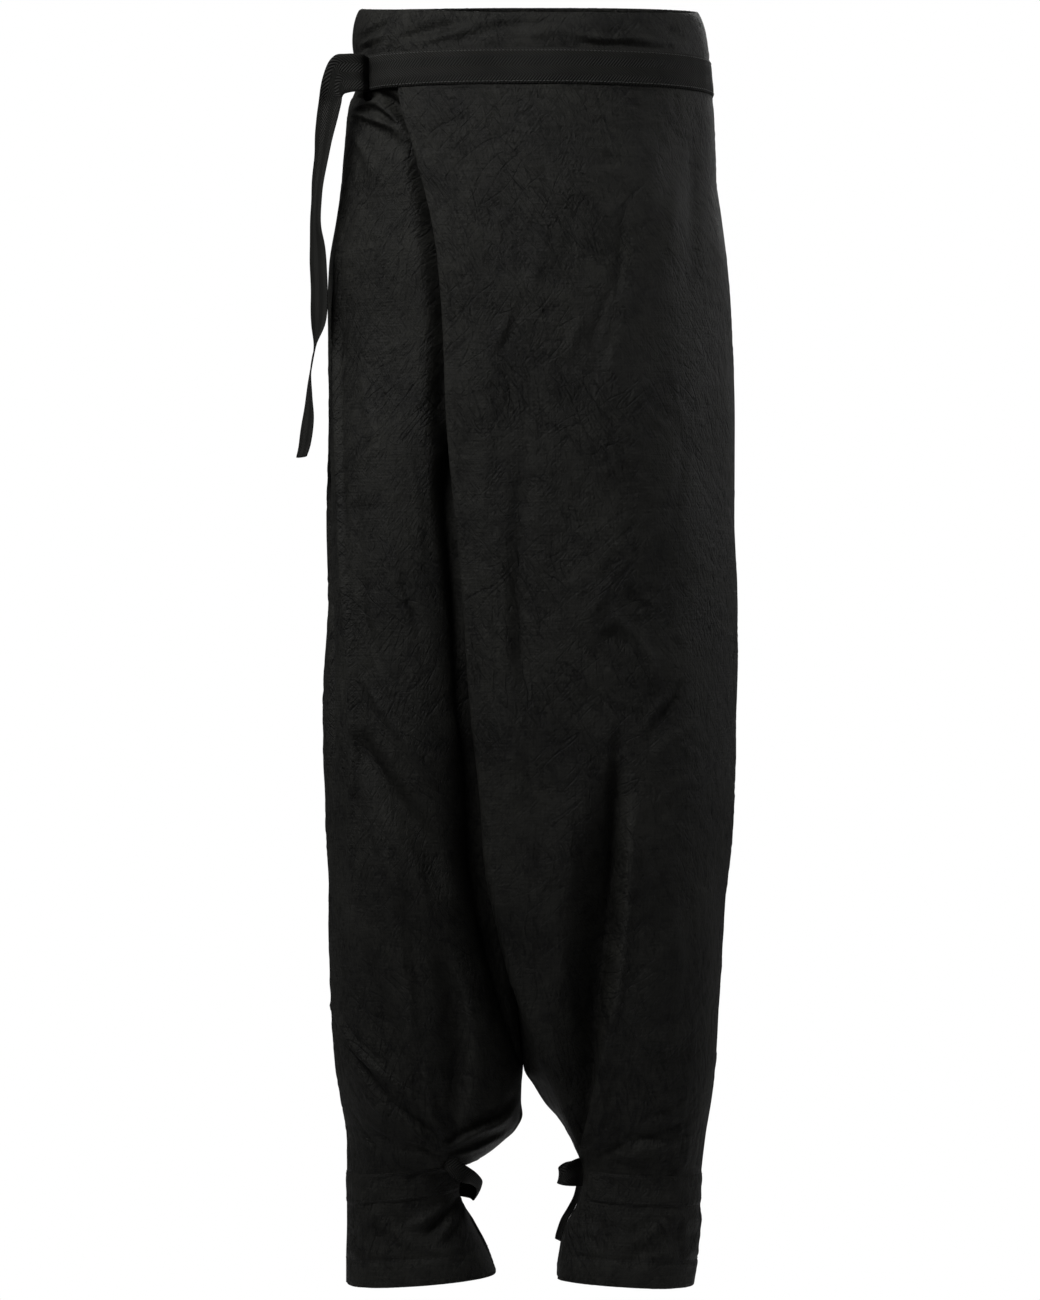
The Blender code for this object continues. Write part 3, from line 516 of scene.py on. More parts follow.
class Cloth:
    """A grid of points, rows from top to bottom, with the lift that its folds give it.

    outward names the side, left or right of each row's direction, that faces out. run is
    the distance along each row from its first point, and level is the height.
    """

    def __init__(self, points, outward):
        self.points = np.asarray(points, dtype=float)
        self.outward = outward
        steps = np.linalg.norm(np.diff(self.points, axis=1), axis=2)
        self.run = np.hstack((np.zeros((len(steps), 1)), np.cumsum(steps, axis=1)))
        self.level = self.points[:, :, 2].copy()
        self.x = self.points[:, :, 0].copy()
        self.lift = np.zeros(self.run.shape)
        self.uv = np.stack((self.run, self.level), axis=-1)
        self.aim = None
        self.drawn = 1.0            # share of the slot's pull that reaches this piece

    def normals(self):
        across = np.gradient(self.points, axis=1)
        down = np.gradient(self.points, axis=0)
        n = np.cross(across, down) * (1.0 if self.outward == "left" else -1.0)
        return n / np.maximum(np.linalg.norm(n, axis=2), 1e-12)[:, :, None]

    def run_at(self, x, z, columns):
        """Distance along the row at height z to the point at x, in the first columns."""
        row = int(np.argmin(np.abs(self.level[:, 0] - z)))
        xs, runs = self.x[row, :columns], self.run[row, :columns]
        return float(np.interp(x, *((xs, runs) if xs[-1] > xs[0] else (xs[::-1], runs[::-1]))))

    def press(self, folds, columns=None):
        """Press folds in. Each is rows of place, height, depth and width in millimetres.

        A depth under 0 is a trough, over 0 a ridge. place is x, or with no columns the
        distance along the row. A fold may begin with its skew: with 0.5 the side away from
        the row's start is half as wide again and the other side half as wide.
        """
        for fold in folds:
            skew, fold = (fold[0], fold[1:]) if np.isscalar(fold[0]) else (0.0, fold)
            line = smooth_line(fold) / 1000
            if columns:
                line[:, 0] = [self.run_at(x, z, columns) for x, z in line[:, :2]]
            reach = FOLD_REACH * line[:, 3].max()
            rows = np.flatnonzero((self.level.max(1) > line[:, 1].min() - reach)
                                  & (self.level.min(1) < line[:, 1].max() + reach))
            if not len(rows):
                continue
            part = slice(rows[0], rows[-1] + 1)
            u, v = self.run[part], self.level[part]
            best = np.full(u.shape, 1e9)
            lift = np.zeros(u.shape)
            for a, b in zip(line, line[1:]):
                du, dv = b[0] - a[0], b[1] - a[1]
                t = ((u - a[0]) * du + (v - a[1]) * dv) / max(du * du + dv * dv, 1e-12)
                t = np.clip(t, 0.0, 1.0)
                off_u, off_v = u - a[0] - t * du, v - a[1] - t * dv
                gap = np.hypot(off_u, off_v)
                lean = 1.0 + skew * off_u / np.maximum(gap, 1e-9)
                q = gap / ((a[3] + (b[3] - a[3]) * t) * lean)
                near = gap < best
                best = np.where(near, gap, best)
                bump = (a[2] + (b[2] - a[2]) * t) * np.exp(-q * q) * (1 - FOLD_LIP * q * q)
                lift = np.where(near, bump, lift)
            self.lift[part] += lift

    def settle(self):
        """Move the points out by their lift, then waver and draw in with their neighbours."""
        aim = self.normals() if self.aim is None else self.aim
        self.points = self.points + aim * self.lift[:, :, None]
        self.lift[:] = 0.0
        places = [self.points[:, :, k].copy() for k in range(3)]
        x, y, z = places
        for moved, along, height, wide, tall, seed in WAVER:
            wave = grain(places[along] / wide + 9, z / tall + 40, seed)
            self.points[:, :, moved] += height * wave
        near = ((x - SLOT_X - 0.0005) / 0.0075) ** 2 + ((z + 0.003) / 0.026) ** 2
        self.points[:, :, 1] += self.drawn * SLOT_PULL * np.exp(-near) * ramp(-y, 0.0, 0.04)
        side = ramp(-x, 0.118, 0.148) * ramp(0.055 - np.abs(y), 0.0, 0.04)
        self.points[:, :, 0] += (self.drawn * HIP_PULL * side
                                 * np.exp(-((z - 0.002) / 0.018) ** 2))


def creases(*rows):
    """Short creases that fade at both ends, as rows of depth, width and then x, z pairs."""
    folds = []
    for depth, width, *places in rows:
        pairs = np.array(places, dtype=float).reshape(-1, 2)
        line = smooth_line(pairs, 3)
        fade = np.sin(np.linspace(0.0, math.pi, len(line))) ** 0.7
        folds.append(np.column_stack((line, depth * fade, width * (0.55 + 0.45 * fade))))
    return folds


# ---- folds pressed into the panels -----------------------------------------------------
# Long folds: rows of x, z, depth and width in millimetres, with their own ends
LEFT_FRONT_FOLDS = (
    # the overlap's edge rolls out, first broadly and then close to the fold itself
    ((-74, -60, 0, 14), (-56, -120, 3, 18), (-44, -200, 4, 20), (-38, -275, 4.5, 21),
     (-34, -341, 4, 20), (-28, -428, 3, 18), (-22, -527, 2.4, 16), (-12, -611, 2, 14),
     (0, -701, 0, 12)),
    ((-99, -40, 0, 4), (-91, -72, 1.4, 4), (-77, -127, 1.8, 5), (-67, -200, 2, 5),
     (-64, -275, 2, 5), (-59, -341, 1.8, 5), (-52, -428, 1.8, 5), (-46, -527, 1.8, 5),
     (-37, -611, 1.6, 5), (-26, -701, 1.6, 5), (-11, -767, 1.6, 5), (17, -836, 0, 5)),
    # trough that deepens down the thigh and runs into the ankle's inner edge
    ((76, -548, 0, 6), (75, -580, -4, 7), (75, -640, -6, 8), (74, -700, -5, 9), (70, -740, 0, 9)),
    (0.50, (76, -580, 0, 14), (75, -630, -13, 18), (71, -690, -23, 21), (65, -745, -29, 22),
     (58, -800, -30, 20), (51, -850, -25, 15), (46, -885, -16, 10), (43, -912, -7, 6)),
    # ridge along its outer side
    ((88, -625, 0, 7), (84, -665, 4, 7), (79, -720, 5, 7), (72, -780, 5, 6), (61, -835, 4, 5),
     (54, -870, 3, 4), (47, -905, 2, 4)),
    # soft trough down the middle of the front
    ((-2, -290, 0, 9), (-4, -350, -2.5, 10), (-7, -414, -3.5, 10), (-5, -480, -4, 10),
     (-2, -512, -3, 9), (16, -552, 0, 8)),
    # hollow behind the hip bone
    ((143, -30, 0, 9), (142, -80, -3, 11), (139, -140, -3.5, 11), (135, -195, 0, 10)),
    # long pull from the hip down towards the folded edge
    ((86, -110, 0, 6), (79, -135, -1.8, 5), (77, -175, -1.4, 6), (66, -225, -1.6, 7),
     (50, -275, 0, 8)),
    ((92, -140, 0, 9), (85, -185, 1.6, 9), (72, -245, 1.8, 9), (56, -300, 0, 9)),
    # soft ridge beside the folded edge
    ((-96, -22, 0, 5), (-84, -50, 1.4, 7), (-68, -95, 1.2, 8), (-58, -150, 0, 9)),
    ((-88, -20, 0, 6), (-74, -55, -1.8, 8), (-60, -95, -1.2, 9), (-52, -130, 0, 9)),
)
LEFT_FRONT_CREASES = (
    (2.0, 5, 46, -208, 40, -228, 31, -252), (2.0, 5, 76, -184, 69, -210, 58, -246),
    (-1.8, 5, 68, -190, 60, -215, 50, -246), (1.6, 5, -13, -210, -20, -224, -29, -243),
    (-1.4, 5, -5, -204, -14, -224, -24, -246),
    (2.6, 5, 70, -456, 81, -470, 93, -482), (-3.0, 7, 60, -482, 75, -476, 84, -492),
    (-2.0, 6, 84, -440, 90, -448, 94, -458), (2.2, 5, 94, -480, 104, -500, 107, -524),
    (1.8, 5, 68, -430, 60, -448, 48, -466), (-1.8, 6, 40, -470, 52, -488, 70, -506),
    (-1.5, 3, 88, -380, 83, -388, 78, -397), (-1.6, 3, 72, -410, 67, -422, 61, -434),
    (-1.8, 3.5, 134, -510, 122, -528, 111, -543), (-1.4, 3.5, 130, -517, 110, -546, 91, -566),
    (1.8, 5, 91, -566, 106, -541, 137, -514), (1.4, 6, 93, -590, 118, -566, 146, -548),
    (1.2, 5, 100, -626, 122, -604, 140, -596),
    (2.0, 9, 88, -812, 116, -818, 146, -800), (-1.6, 8, 92, -830, 118, -838, 144, -822),
    (2.0, 5, 76, -900, 97, -912, 143, -900), (-2.0, 5, 72, -888, 98, -900, 142, -886),
    (-1.6, 5, 62, -912, 84, -925, 110, -926), (1.6, 5, 84, -868, 106, -874, 132, -862),
    (1.4, 7, 24, -566, 34, -640, 38, -700), (-1.4, 8, 6, -600, 16, -680, 28, -744),
    (1.4, 7, 20, -690, 30, -760, 36, -822), (-1.6, 6, 22, -780, 30, -830, 36, -872),
    (1.2, 6, 110, -350, 104, -392, 96, -430), (-1.2, 7, 132, -300, 128, -350, 118, -396),
    (1.2, 7, 20, -120, 10, -160, 4, -205), (-1.0, 8, 44, -100, 36, -150, 22, -190),
    (1.2, 6, -30, -300, -36, -350, -38, -400), (-1.2, 6, -24, -420, -26, -480, -22, -530),
    (1.0, 7, 120, -700, 128, -750, 126, -790), (-1.0, 7, 104, -650, 112, -700, 108, -740),
    (2.6, 4, 52, -912, 66, -898, 76, -880), (-2.8, 4, 56, -918, 74, -910, 90, -900),
    (2.4, 3.5, 60, -922, 82, -917, 106, -915), (-2.2, 4, 84, -908, 104, -902, 122, -906),
    (2.2, 4, 96, -892, 112, -884, 128, -886), (-2.0, 4, 64, -880, 72, -862, 76, -840),
    (-1.4, 5, 34, -556, 48, -572, 58, -592), (1.2, 5, -8, -560, 6, -590, 12, -624),
    (1.1, 4, -62, -60, -48, -74, -40, -96), (-1.0, 4, 6, -60, 14, -84, 16, -110),
    (1.2, 6, 128, -90, 122, -120, 118, -160), (-1.0, 5, 100, -70, 96, -96, 98, -130),
)
RIGHT_FRONT_FOLDS = (
    # the valley that runs down under the overlapping front's edge
    ((-103, -40, -3, 5), (-96, -70, -11, 8), (-87, -100, -16, 11), (-79, -137, -19, 13),
     (-71, -200, -17, 13), (-67, -275, -17, 14), (-63, -341, -14, 12), (-56, -428, -9, 9),
     (-52, -500, 0, 7)),
    # the cloth falls away towards the fold above the knee
    (-0.5, (-58, -560, 0, 20), (-47, -630, -9, 26), (-38, -700, -15, 28), (-27, -760, -16, 26),
     (-14, -810, -11, 20), (-4, -850, 0, 14)),
    # the pressed corner down the outer front, and the hollow beside it
    ((-149, -60, 0, 5), (-157, -110, 2.5, 5), (-162, -190, 5, 5), (-160, -268, 5.5, 5),
     (-158, -330, 5.5, 5), (-154, -400, 5.5, 5), (-150, -460, 5.5, 5), (-148, -520, 5, 5),
     (-147, -594, 4.5, 5), (-149, -640, 3, 5), (-146, -700, 0, 6)),
    ((-168, -150, 0, 10), (-170, -200, -11, 11), (-170, -300, -13, 11), (-168, -420, -13, 11),
     (-167, -520, -11, 11), (-166, -620, 0, 10)),
    ((-143, -330, 0, 9), (-140, -420, -2.5, 10), (-136, -500, -3, 11), (-137, -560, -2, 10),
     (-137, -600, 0, 9)),
    # slant fold across the thigh
    ((-150, -560, 0, 10), (-138, -574, -7, 12), (-118, -604, -10, 13), (-95, -634, -11, 14),
     (-80, -664, -8, 13), (-70, -700, 0, 11)),
    ((-146, -505, 0, 4), (-128, -530, 2.4, 4), (-104, -562, 2.6, 5), (-80, -596, 2.4, 5),
     (-56, -622, 0, 4)),
    # upright trough down to the ankle's inner edge
    (-0.3, (-76, -730, 0, 9), (-68, -762, -8, 11), (-60, -790, -12, 13), (-56, -835, -13, 13),
     (-60, -872, -9, 10), (-65, -900, -4, 6)),
    ((-116, -700, 0, 6), (-107, -740, 3.4, 6), (-101, -772, 3.6, 6), (-95, -806, 3, 6),
     (-92, -836, 0, 6)),
    ((-136, -726, 0, 8), (-130, -760, -3.5, 9), (-120, -800, -4, 10), (-106, -842, 0, 9)),
    # bright slant ridge above the ankle, with the dark fold beneath it
    ((-166, -792, 2, 5), (-144, -825, 4, 5), (-120, -846, 4, 5), (-102, -860, 3, 5),
     (-84, -884, 0, 5)),
    ((-160, -812, 0, 6), (-143, -836, -4, 6), (-118, -867, -4.5, 6), (-100, -883, -4, 6),
     (-84, -894, -3, 5), (-66, -906, -2, 4)),
    # gathers that fan out from the ankle cord
    ((-68, -911, 2.5, 3), (-47, -898, 5, 3.5), (-22, -889, 4.5, 4), (-4, -873, 0, 5)),
    ((-66, -904, -3, 3), (-44, -888, -6.5, 5), (-22, -879, -5, 5), (-6, -862, 0, 5)),
    ((-68, -914, -3, 3), (-46, -907, -3.5, 3), (-26, -900, -3, 3), (-14, -891, 0, 3)),
    ((-66, -918, 2, 2.5), (-50, -914, 2.5, 2.5), (-34, -908, 2, 3), (-20, -898, 0, 3)),
    ((-72, -908, 3, 3), (-79, -884, 4, 4), (-84, -852, 3, 5), (-86, -820, 0, 6)),
    ((-78, -912, 2.5, 3), (-92, -896, 3.5, 4), (-108, -878, 2.5, 4), (-122, -862, 0, 5)),
    ((-76, -917, -2, 3), (-96, -908, -3, 3), (-118, -900, -2, 4), (-136, -896, 0, 4)),
    # the pulled pocket beside the slot
    ((-150, -30, 1, 2.5), (-139, -27, 2.8, 2.5), (-130, -25, 3.4, 2.5), (-121, -32, 3.2, 3),
     (-111, -43, 2.6, 3), (-103, -58, 0, 3)),
    ((-150, -33, 1, 2.5), (-140, -36, 3, 2.5), (-129, -42, 3, 2.5), (-114, -48, 2.2, 3),
     (-105, -55, 0, 3)),
    ((-145, -29, 0, 2.5), (-133, -31, -4, 3), (-122, -38, -4.5, 3), (-110, -48, -3, 3),
     (-103, -57, 0, 3)),
    ((-124, -18, -4, 4), (-117, -24, -9, 5), (-109, -34, -11, 5.5), (-102, -48, -5, 5)),
    ((-142, -42, 0, 4), (-132, -47, -4, 6), (-118, -56, -4.5, 7), (-106, -70, -4, 8),
     (-94, -98, 0, 8)),
    ((-150, -38, 1, 3), (-145, -52, 3, 4), (-136, -70, 3, 6), (-126, -98, 0, 8)),
    ((-146, -20, -2, 4), (-138, -21, -4, 4), (-131, -19, -2, 4)),
)
RIGHT_FRONT_CREASES = (
    (-1.4, 3, -138, -147, -130, -145, -121, -146), (1.4, 4, -134, -128, -124, -150, -118, -176),
    (2.4, 6, -134, -628, -113, -672, -101, -710), (2.0, 5, -115, -770, -103, -798, -97, -824),
    (1.8, 5, -140, -250, -132, -290, -122, -340), (-1.6, 5, -128, -250, -118, -300, -112, -350),
    (1.6, 5, -120, -400, -106, -440, -96, -480), (-1.6, 6, -108, -420, -94, -462, -86, -505),
    (1.4, 5, -100, -500, -86, -540, -74, -570), (-1.4, 5, -140, -450, -128, -486, -112, -520),
    (1.2, 5, -96, -330, -90, -380, -88, -420), (-1.4, 6, -104, -180, -98, -230, -90, -280),
    (1.4, 6, -116, -196, -110, -240, -100, -286), (1.4, 4, -98, -650, -86, -690, -80, -722),
    (-1.6, 5, -110, -690, -98, -730, -90, -770), (1.6, 5, -42, -740, -34, -780, -30, -820),
    (-1.6, 5, -36, -770, -28, -806, -24, -840), (1.6, 5, -70, -840, -66, -862, -66, -884),
    (-1.8, 4, -118, -905, -100, -912, -84, -914), (1.6, 4, -132, -888, -112, -902, -92, -906),
    (1.8, 4, -140, -858, -126, -876, -110, -890), (-1.6, 4, -150, -880, -136, -902, -120, -916),
)
# The cuffs, below the ankle bands
LEFT_CUFF_CREASES = (
    (-2.0, 5, 60, -968, 66, -990, 70, -1008), (1.8, 6, 76, -970, 80, -990, 78, -1010),
    (-1.6, 7, 92, -972, 96, -996, 90, -1016), (1.5, 7, 112, -970, 116, -992, 112, -1014),
    (-1.6, 6, 130, -968, 128, -990, 132, -1014), (1.4, 4, 50, -972, 58, -986, 74, -996),
    (-1.4, 5, 84, -990, 100, -998, 118, -996), (1.3, 5, 56, -1012, 80, -1018, 100, -1014),
)
RIGHT_CUFF_CREASES = (
    (-5.0, 4.5, -56, -952, -70, -968, -90, -988), (3.2, 4, -52, -964, -66, -978, -80, -996),
    (-3.2, 3.5, -58, -960, -62, -976, -70, -992), (3.0, 4, -66, -956, -84, -970, -104, -980),
    (1.6, 6, -110, -974, -106, -992, -112, -1012),
    (-1.6, 6, -128, -972, -126, -994, -130, -1014), (1.4, 5, -92, -990, -76, -1000, -58, -1004),
    (-1.4, 6, -140, -976, -138, -996, -142, -1012), (1.3, 5, -60, -1000, -84, -1012, -104, -1010),
)
LEFT_BACK_FOLDS = (
    ((20, -90, 0, 12), (26, -150, -3, 13), (40, -215, -4, 14), (62, -280, -3, 14),
     (84, -340, 0, 13)),
    ((52, -400, 0, 12), (56, -480, -3.5, 13), (62, -560, -5, 13), (66, -640, -5, 13),
     (62, -720, 0, 12)),
    ((110, -500, 0, 10), (104, -580, 3, 11), (94, -660, 3.5, 11), (82, -740, 3, 10),
     (76, -800, 0, 9)),
    ((100, -640, 0, 12), (92, -720, -6, 13), (80, -790, -8, 12), (66, -850, -8, 9),
     (56, -890, -6, 7), (48, -918, -3, 5)),
    ((8, -560, 0, 9), (16, -640, 3, 10), (22, -720, 3, 9), (26, -790, 0, 8)),
    ((12, -300, 0, 9), (10, -380, -2.5, 10), (14, -460, -2.5, 10), (22, -520, 0, 10)),
    ((120, -180, 0, 10), (124, -260, 2.5, 10), (120, -340, 2, 11), (110, -420, 0, 10)),
    ((132, -800, 0, 7), (112, -848, 3.4, 6), (90, -880, 3.6, 6), (66, -902, 2, 5)),
    ((140, -826, 0, 7), (118, -868, -4, 7), (96, -896, -4, 6), (70, -912, -2, 5)),
    ((46, -914, 2, 3), (66, -894, 3, 4), (92, -868, 2.6, 5), (110, -836, 0, 6)),
)
LEFT_BACK_CREASES = (
    (1.8, 6, 30, -80, 44, -116, 50, -160), (-1.6, 6, 60, -70, 72, -110, 78, -150),
    (1.6, 6, 90, -200, 78, -240, 60, -270), (-1.4, 5, 100, -110, 96, -150, 104, -190),
    (1.6, 5, 30, -330, 44, -370, 50, -410), (-1.6, 5, 80, -400, 92, -440, 96, -480),
    (1.4, 5, 120, -460, 130, -500, 128, -540), (-1.6, 5, 40, -590, 34, -630, 40, -670),
    (1.4, 5, 118, -700, 124, -740, 118, -780), (-1.4, 5, 138, -600, 140, -650, 134, -700),
    (1.8, 5, 60, -950, 72, -970, 80, -1000), (-1.8, 5, 96, -966, 100, -986, 96, -1010),
    (1.6, 5, 120, -970, 116, -990, 122, -1012),
)
RIGHT_BACK_FOLDS = (
    ((-24, -110, 0, 12), (-34, -170, -3.5, 13), (-52, -236, -4, 14), (-76, -300, -2.5, 14),
     (-92, -350, 0, 12)),
    ((-60, -420, 0, 12), (-58, -500, -3, 13), (-66, -590, -5, 13), (-70, -660, -4, 12),
     (-62, -730, 0, 11)),
    ((-114, -470, 0, 10), (-108, -560, 3, 10), (-98, -650, 3.6, 10), (-88, -730, 3, 10),
     (-84, -790, 0, 9)),
    ((-112, -650, 0, 12), (-104, -730, -5, 12), (-92, -800, -7, 11), (-80, -856, -7, 9),
     (-70, -896, -5, 6), (-60, -920, -3, 5)),
    ((-10, -600, 0, 9), (-20, -680, 3, 9), (-30, -750, 3, 9), (-40, -810, 0, 8)),
    ((-126, -210, 0, 10), (-128, -300, 2.5, 10), (-122, -390, 2, 11), (-112, -450, 0, 10)),
    ((-142, -790, 0, 7), (-124, -840, 3.4, 6), (-100, -876, 3.6, 6), (-76, -902, 2, 5)),
    ((-150, -822, 0, 7), (-128, -866, -4, 7), (-104, -894, -4, 6), (-78, -914, -2, 5)),
    ((-60, -914, 2, 3), (-80, -894, 3, 4), (-104, -866, 2.6, 5), (-122, -832, 0, 6)),
)
RIGHT_BACK_CREASES = (
    (1.8, 6, -40, -70, -48, -110, -44, -150), (-1.6, 6, -72, -80, -84, -120, -88, -160),
    (1.6, 6, -100, -180, -88, -226, -70, -262), (-1.4, 5, -116, -90, -110, -134, -114, -176),
    (1.6, 5, -20, -320, -32, -360, -36, -404), (-1.6, 5, -86, -390, -98, -430, -100, -474),
    (1.4, 5, -132, -480, -138, -524, -134, -560), (-1.6, 5, -36, -560, -30, -610, -38, -650),
    (1.4, 5, -128, -690, -132, -730, -128, -772), (-1.4, 5, -146, -610, -148, -660, -142, -706),
    (1.8, 5, -70, -950, -82, -972, -88, -1002), (-1.8, 5, -106, -968, -108, -990, -104, -1012),
    (1.6, 5, -132, -972, -128, -992, -134, -1012),
)
# Creases of the waistband above the tape
BAND_FOLDS = (
    ((-108, 21, 0, 4.3), (-97, 28, -3, 5.1), (-68, 35, -3.3, 5.8), (-48, 40, 0, 4.3)),
    ((-60, 22, 0, 4.3), (-33, 31, -2.2, 5.1), (-3, 36, -2.5, 5.1), (34, 37, 0, 4.3)),
    ((-96, 20, 0, 4.3), (-72, 25, 2.2, 4.3), (-50, 31, 1.9, 5.8), (-24, 33, 0, 4.3)),
    ((-92, 17, 0, 3.6), (-74, 22, -1.6, 4.3), (-58, 26, 0, 4.3)),
    ((40, 24, 0, 3.6), (56, 17.5, -2.7, 3.6), (78, 19, -2.7, 3.6), (114, 17.5, -2.2, 3.6),
     (142, 18, 0, 3.6)),
    ((28, 30, 0, 4.3), (60, 24, 1.9, 4.3), (90, 25, 1.9, 4.3), (120, 22, 0, 4.3)),
    ((68, 33, 0, 3.6), (74, 27, -1.9, 3.6), (80, 22, 0, 3.6)),
    ((112, 38, 0, 4.3), (126, 34, -2.2, 4.3), (140, 28, 0, 4.3)),
    ((0, 24, 0, 4.3), (14, 28, 1.6, 4.3), (40, 30, 0, 4.3)),
)
RIGHT_BAND_FOLDS = (
    ((-146, 30, 0, 4.3), (-138, 32, -2.7, 4.3), (-124, 38, -2.2, 4.3), (-112, 42, 0, 4.3)),
    ((-146, 20, 0, 4.3), (-136, 23, -2.7, 4.3), (-120, 25, 0, 4.3)),
    ((-144, 25, 0, 4.3), (-130, 28, 2.2, 4.3), (-116, 31, 0, 4.3)),
)
BACK_BAND_FOLDS = (
    ((60, 30, 0, 3), (90, 36, -1.8, 3.5), (130, 44, -1.6, 4), (160, 50, 0, 4)),
    ((150, 20, 0, 3), (180, 26, 1.6, 4), (215, 30, 1.4, 4), (240, 28, 0, 4)),
    ((230, 44, 0, 4), (260, 36, -1.8, 4), (300, 30, -1.6, 4), (330, 28, 0, 4)),
    ((300, 50, 0, 3), (330, 44, 1.4, 4), (370, 40, 0, 4)),
    ((20, 10, 0, 3), (50, 4, -1.4, 3), (90, 2, 0, 3)),
)

# ---- the cloth pieces ------------------------------------------------------------------
LEVELS = np.concatenate((np.linspace(WAIST_SEAM_Z - 0.0006, -0.100, 44, endpoint=False),
                         np.linspace(-0.100, -0.860, 222, endpoint=False),
                         np.linspace(-0.860, HEM_Z, 82)))
SIDE, FACE, TURNED = 78, 44, 14           # columns across the left front's stretches
OUTER, CURL, WALLED = 86, 28, 12          # the same across the right front
BACK_OUTER, BACK_INNER = 62, 46           # and across each back
BAND_FACE = (80, 62)                      # and round the waistband's front to the slot
EASE_REACH, EASE_ROUNDS = 3, 4            # columns either side of a rounded-off turn, and passes
CRUMPLE = 0.0007                          # height of the crinkles
# The crinkles' directions in degrees, and their length and width
BIAS = ((52, 0.034, 0.008), (-47, 0.030, 0.0075), (14, 0.040, 0.009), (78, 0.036, 0.0085))
CALM_SIDES, CALM_TOP = 0.006, 0.003       # folds die out this close to a panel's edges
EDGE_CALM = 0.6                           # share of the folds lost at the overlap's edge
EDGE_CALM_WIDTH = 0.009
INNER_CALM = 0.85                         # share of the crinkles lost inside the right leg
HIDDEN_SINK = 0.0010                      # the hidden part of the right front is set back
ANKLE_TOP_Z, ANKLE_LOW_Z = -0.935, -0.963  # the ankle bands' edges at the outer side
ANKLE_FLAT = 0.55                         # share of the folds flattened under those bands
ANKLE_SINK = 0.0005                       # which press the panels in this far
ANKLE_EDGE = 0.010                        # within this height above and below
ANKLE_FULL = 0.0006                       # the bands' middle stands out this far
CUFF_CRINKLE = 0.0014
GATHER_DEPTH, GATHER_RISE = 0.0013, 0.050
HEM_STITCH_Z = HEM_Z + 0.022
HEM_GROOVE, HEM_GROOVE_WIDTH = 0.0009, 0.0022
HEM_THICKNESS = 0.0004                    # the turned-up hem stands out this far
BAND_ROWS, BAND_CURL = 38, 0.0050         # the waistband's top edge rolls in this far
BAND_CRUMPLE = 0.55                       # it is less crinkled than the panels
TAPE_ROWS = 17
TIE_CUP, STRAP_CUP = 0.0006, 0.0010       # how full the strips are across their width
RIM_ROUND = 0.4                           # an edge's middle stands out this share of its wall
STITCH_PITCH, STITCH_SHARE = 0.0032, 0.72  # and how much of the pitch a stitch fills
THREAD, TAPE_THREAD = 0.0005, 0.0008      # thickness of the threads
STITCH_PROUD = 0.0001                     # stitches lie this far off the cloth


def eased(points, column):
    """Round off a sharp turn of the rows at one column."""
    part = points[:, column - EASE_REACH - 1:column + EASE_REACH + 2]
    for _ in range(EASE_ROUNDS):
        part[:, 1:-1] = (part[:, :-2] + 2 * part[:, 1:-1] + part[:, 2:]) / 4


def panel(leg, section, counts, outward):
    """A leg panel's grid, one row for each of the levels."""
    points = np.array([slanted(leg, z, spaced(section(z), counts)) for z in LEVELS])
    for column in np.cumsum(counts)[:-1]:
        eased(points, int(column))
    return Cloth(points, outward)


def crumple(cloth, seed, height):
    """Short soft crinkles all over, in patches, mostly on the cloth's bias."""
    u, v = cloth.run + 0.31, cloth.level + 2.0
    for k, (degrees, long, narrow) in enumerate(BIAS):
        c, s = math.cos(math.radians(degrees)), math.sin(math.radians(degrees))
        n = grain((u * c + v * s) / long, (v * c - u * s) / narrow, seed + k)
        patch = ramp(grain(u / 0.045 + k * 7, v / 0.06, seed + 20 + k), -0.25, 0.45)
        crease = (1.0 - np.clip(np.abs(n) / 0.30, 0.0, 1.0)) ** 2
        cloth.lift += height * patch * (0.45 * n - 0.9 * crease)
    cloth.lift += 2.2 * height * grain(u / 0.050, v / 0.090, seed + 60)


def calm(cloth):
    """Let the folds die out towards a panel's first and last columns and its top."""
    total = cloth.run[:, -1:]
    cloth.lift *= ramp(cloth.run, 0.0, CALM_SIDES) * ramp(total - cloth.run, 0.0, CALM_SIDES)
    cloth.lift *= ramp(cloth.level[:1, :] - cloth.level, 0.0, CALM_TOP)


def banded(cloth):
    """Flatten a panel under its ankle band, gather it above, crinkle its cuff, seam its hem."""
    z = LEVELS[:, None]
    under = (ramp(z, ANKLE_LOW_Z - ANKLE_EDGE, ANKLE_LOW_Z)
             * ramp(-z, -ANKLE_TOP_Z - ANKLE_EDGE, -ANKLE_TOP_Z))
    cloth.lift *= 1.0 - ANKLE_FLAT * under
    cloth.lift -= ANKLE_SINK * under
    cuff = ramp(-z, -ANKLE_LOW_Z, -ANKLE_LOW_Z + ANKLE_EDGE)
    cloth.lift += CUFF_CRINKLE * cuff * grain(cloth.run / 0.017 + 5, cloth.level / 0.014, 171)
    gathers = (ramp(z, ANKLE_TOP_Z, ANKLE_TOP_Z + 0.006)
               * ramp(-z, -ANKLE_TOP_Z - GATHER_RISE, -ANKLE_TOP_Z))
    cloth.lift += GATHER_DEPTH * gathers * grain(cloth.run / 0.010 + 5, cloth.level / 0.060, 172)
    cloth.lift *= 1.0 - 0.5 * ramp(-z, -HEM_STITCH_Z - 0.006, -HEM_STITCH_Z)
    cloth.lift -= HEM_GROOVE * np.exp(-((z - HEM_STITCH_Z) / HEM_GROOVE_WIDTH) ** 2)
    cloth.lift += HEM_THICKNESS * ramp(-z, -HEM_STITCH_Z + 0.001, -HEM_STITCH_Z + 0.004)


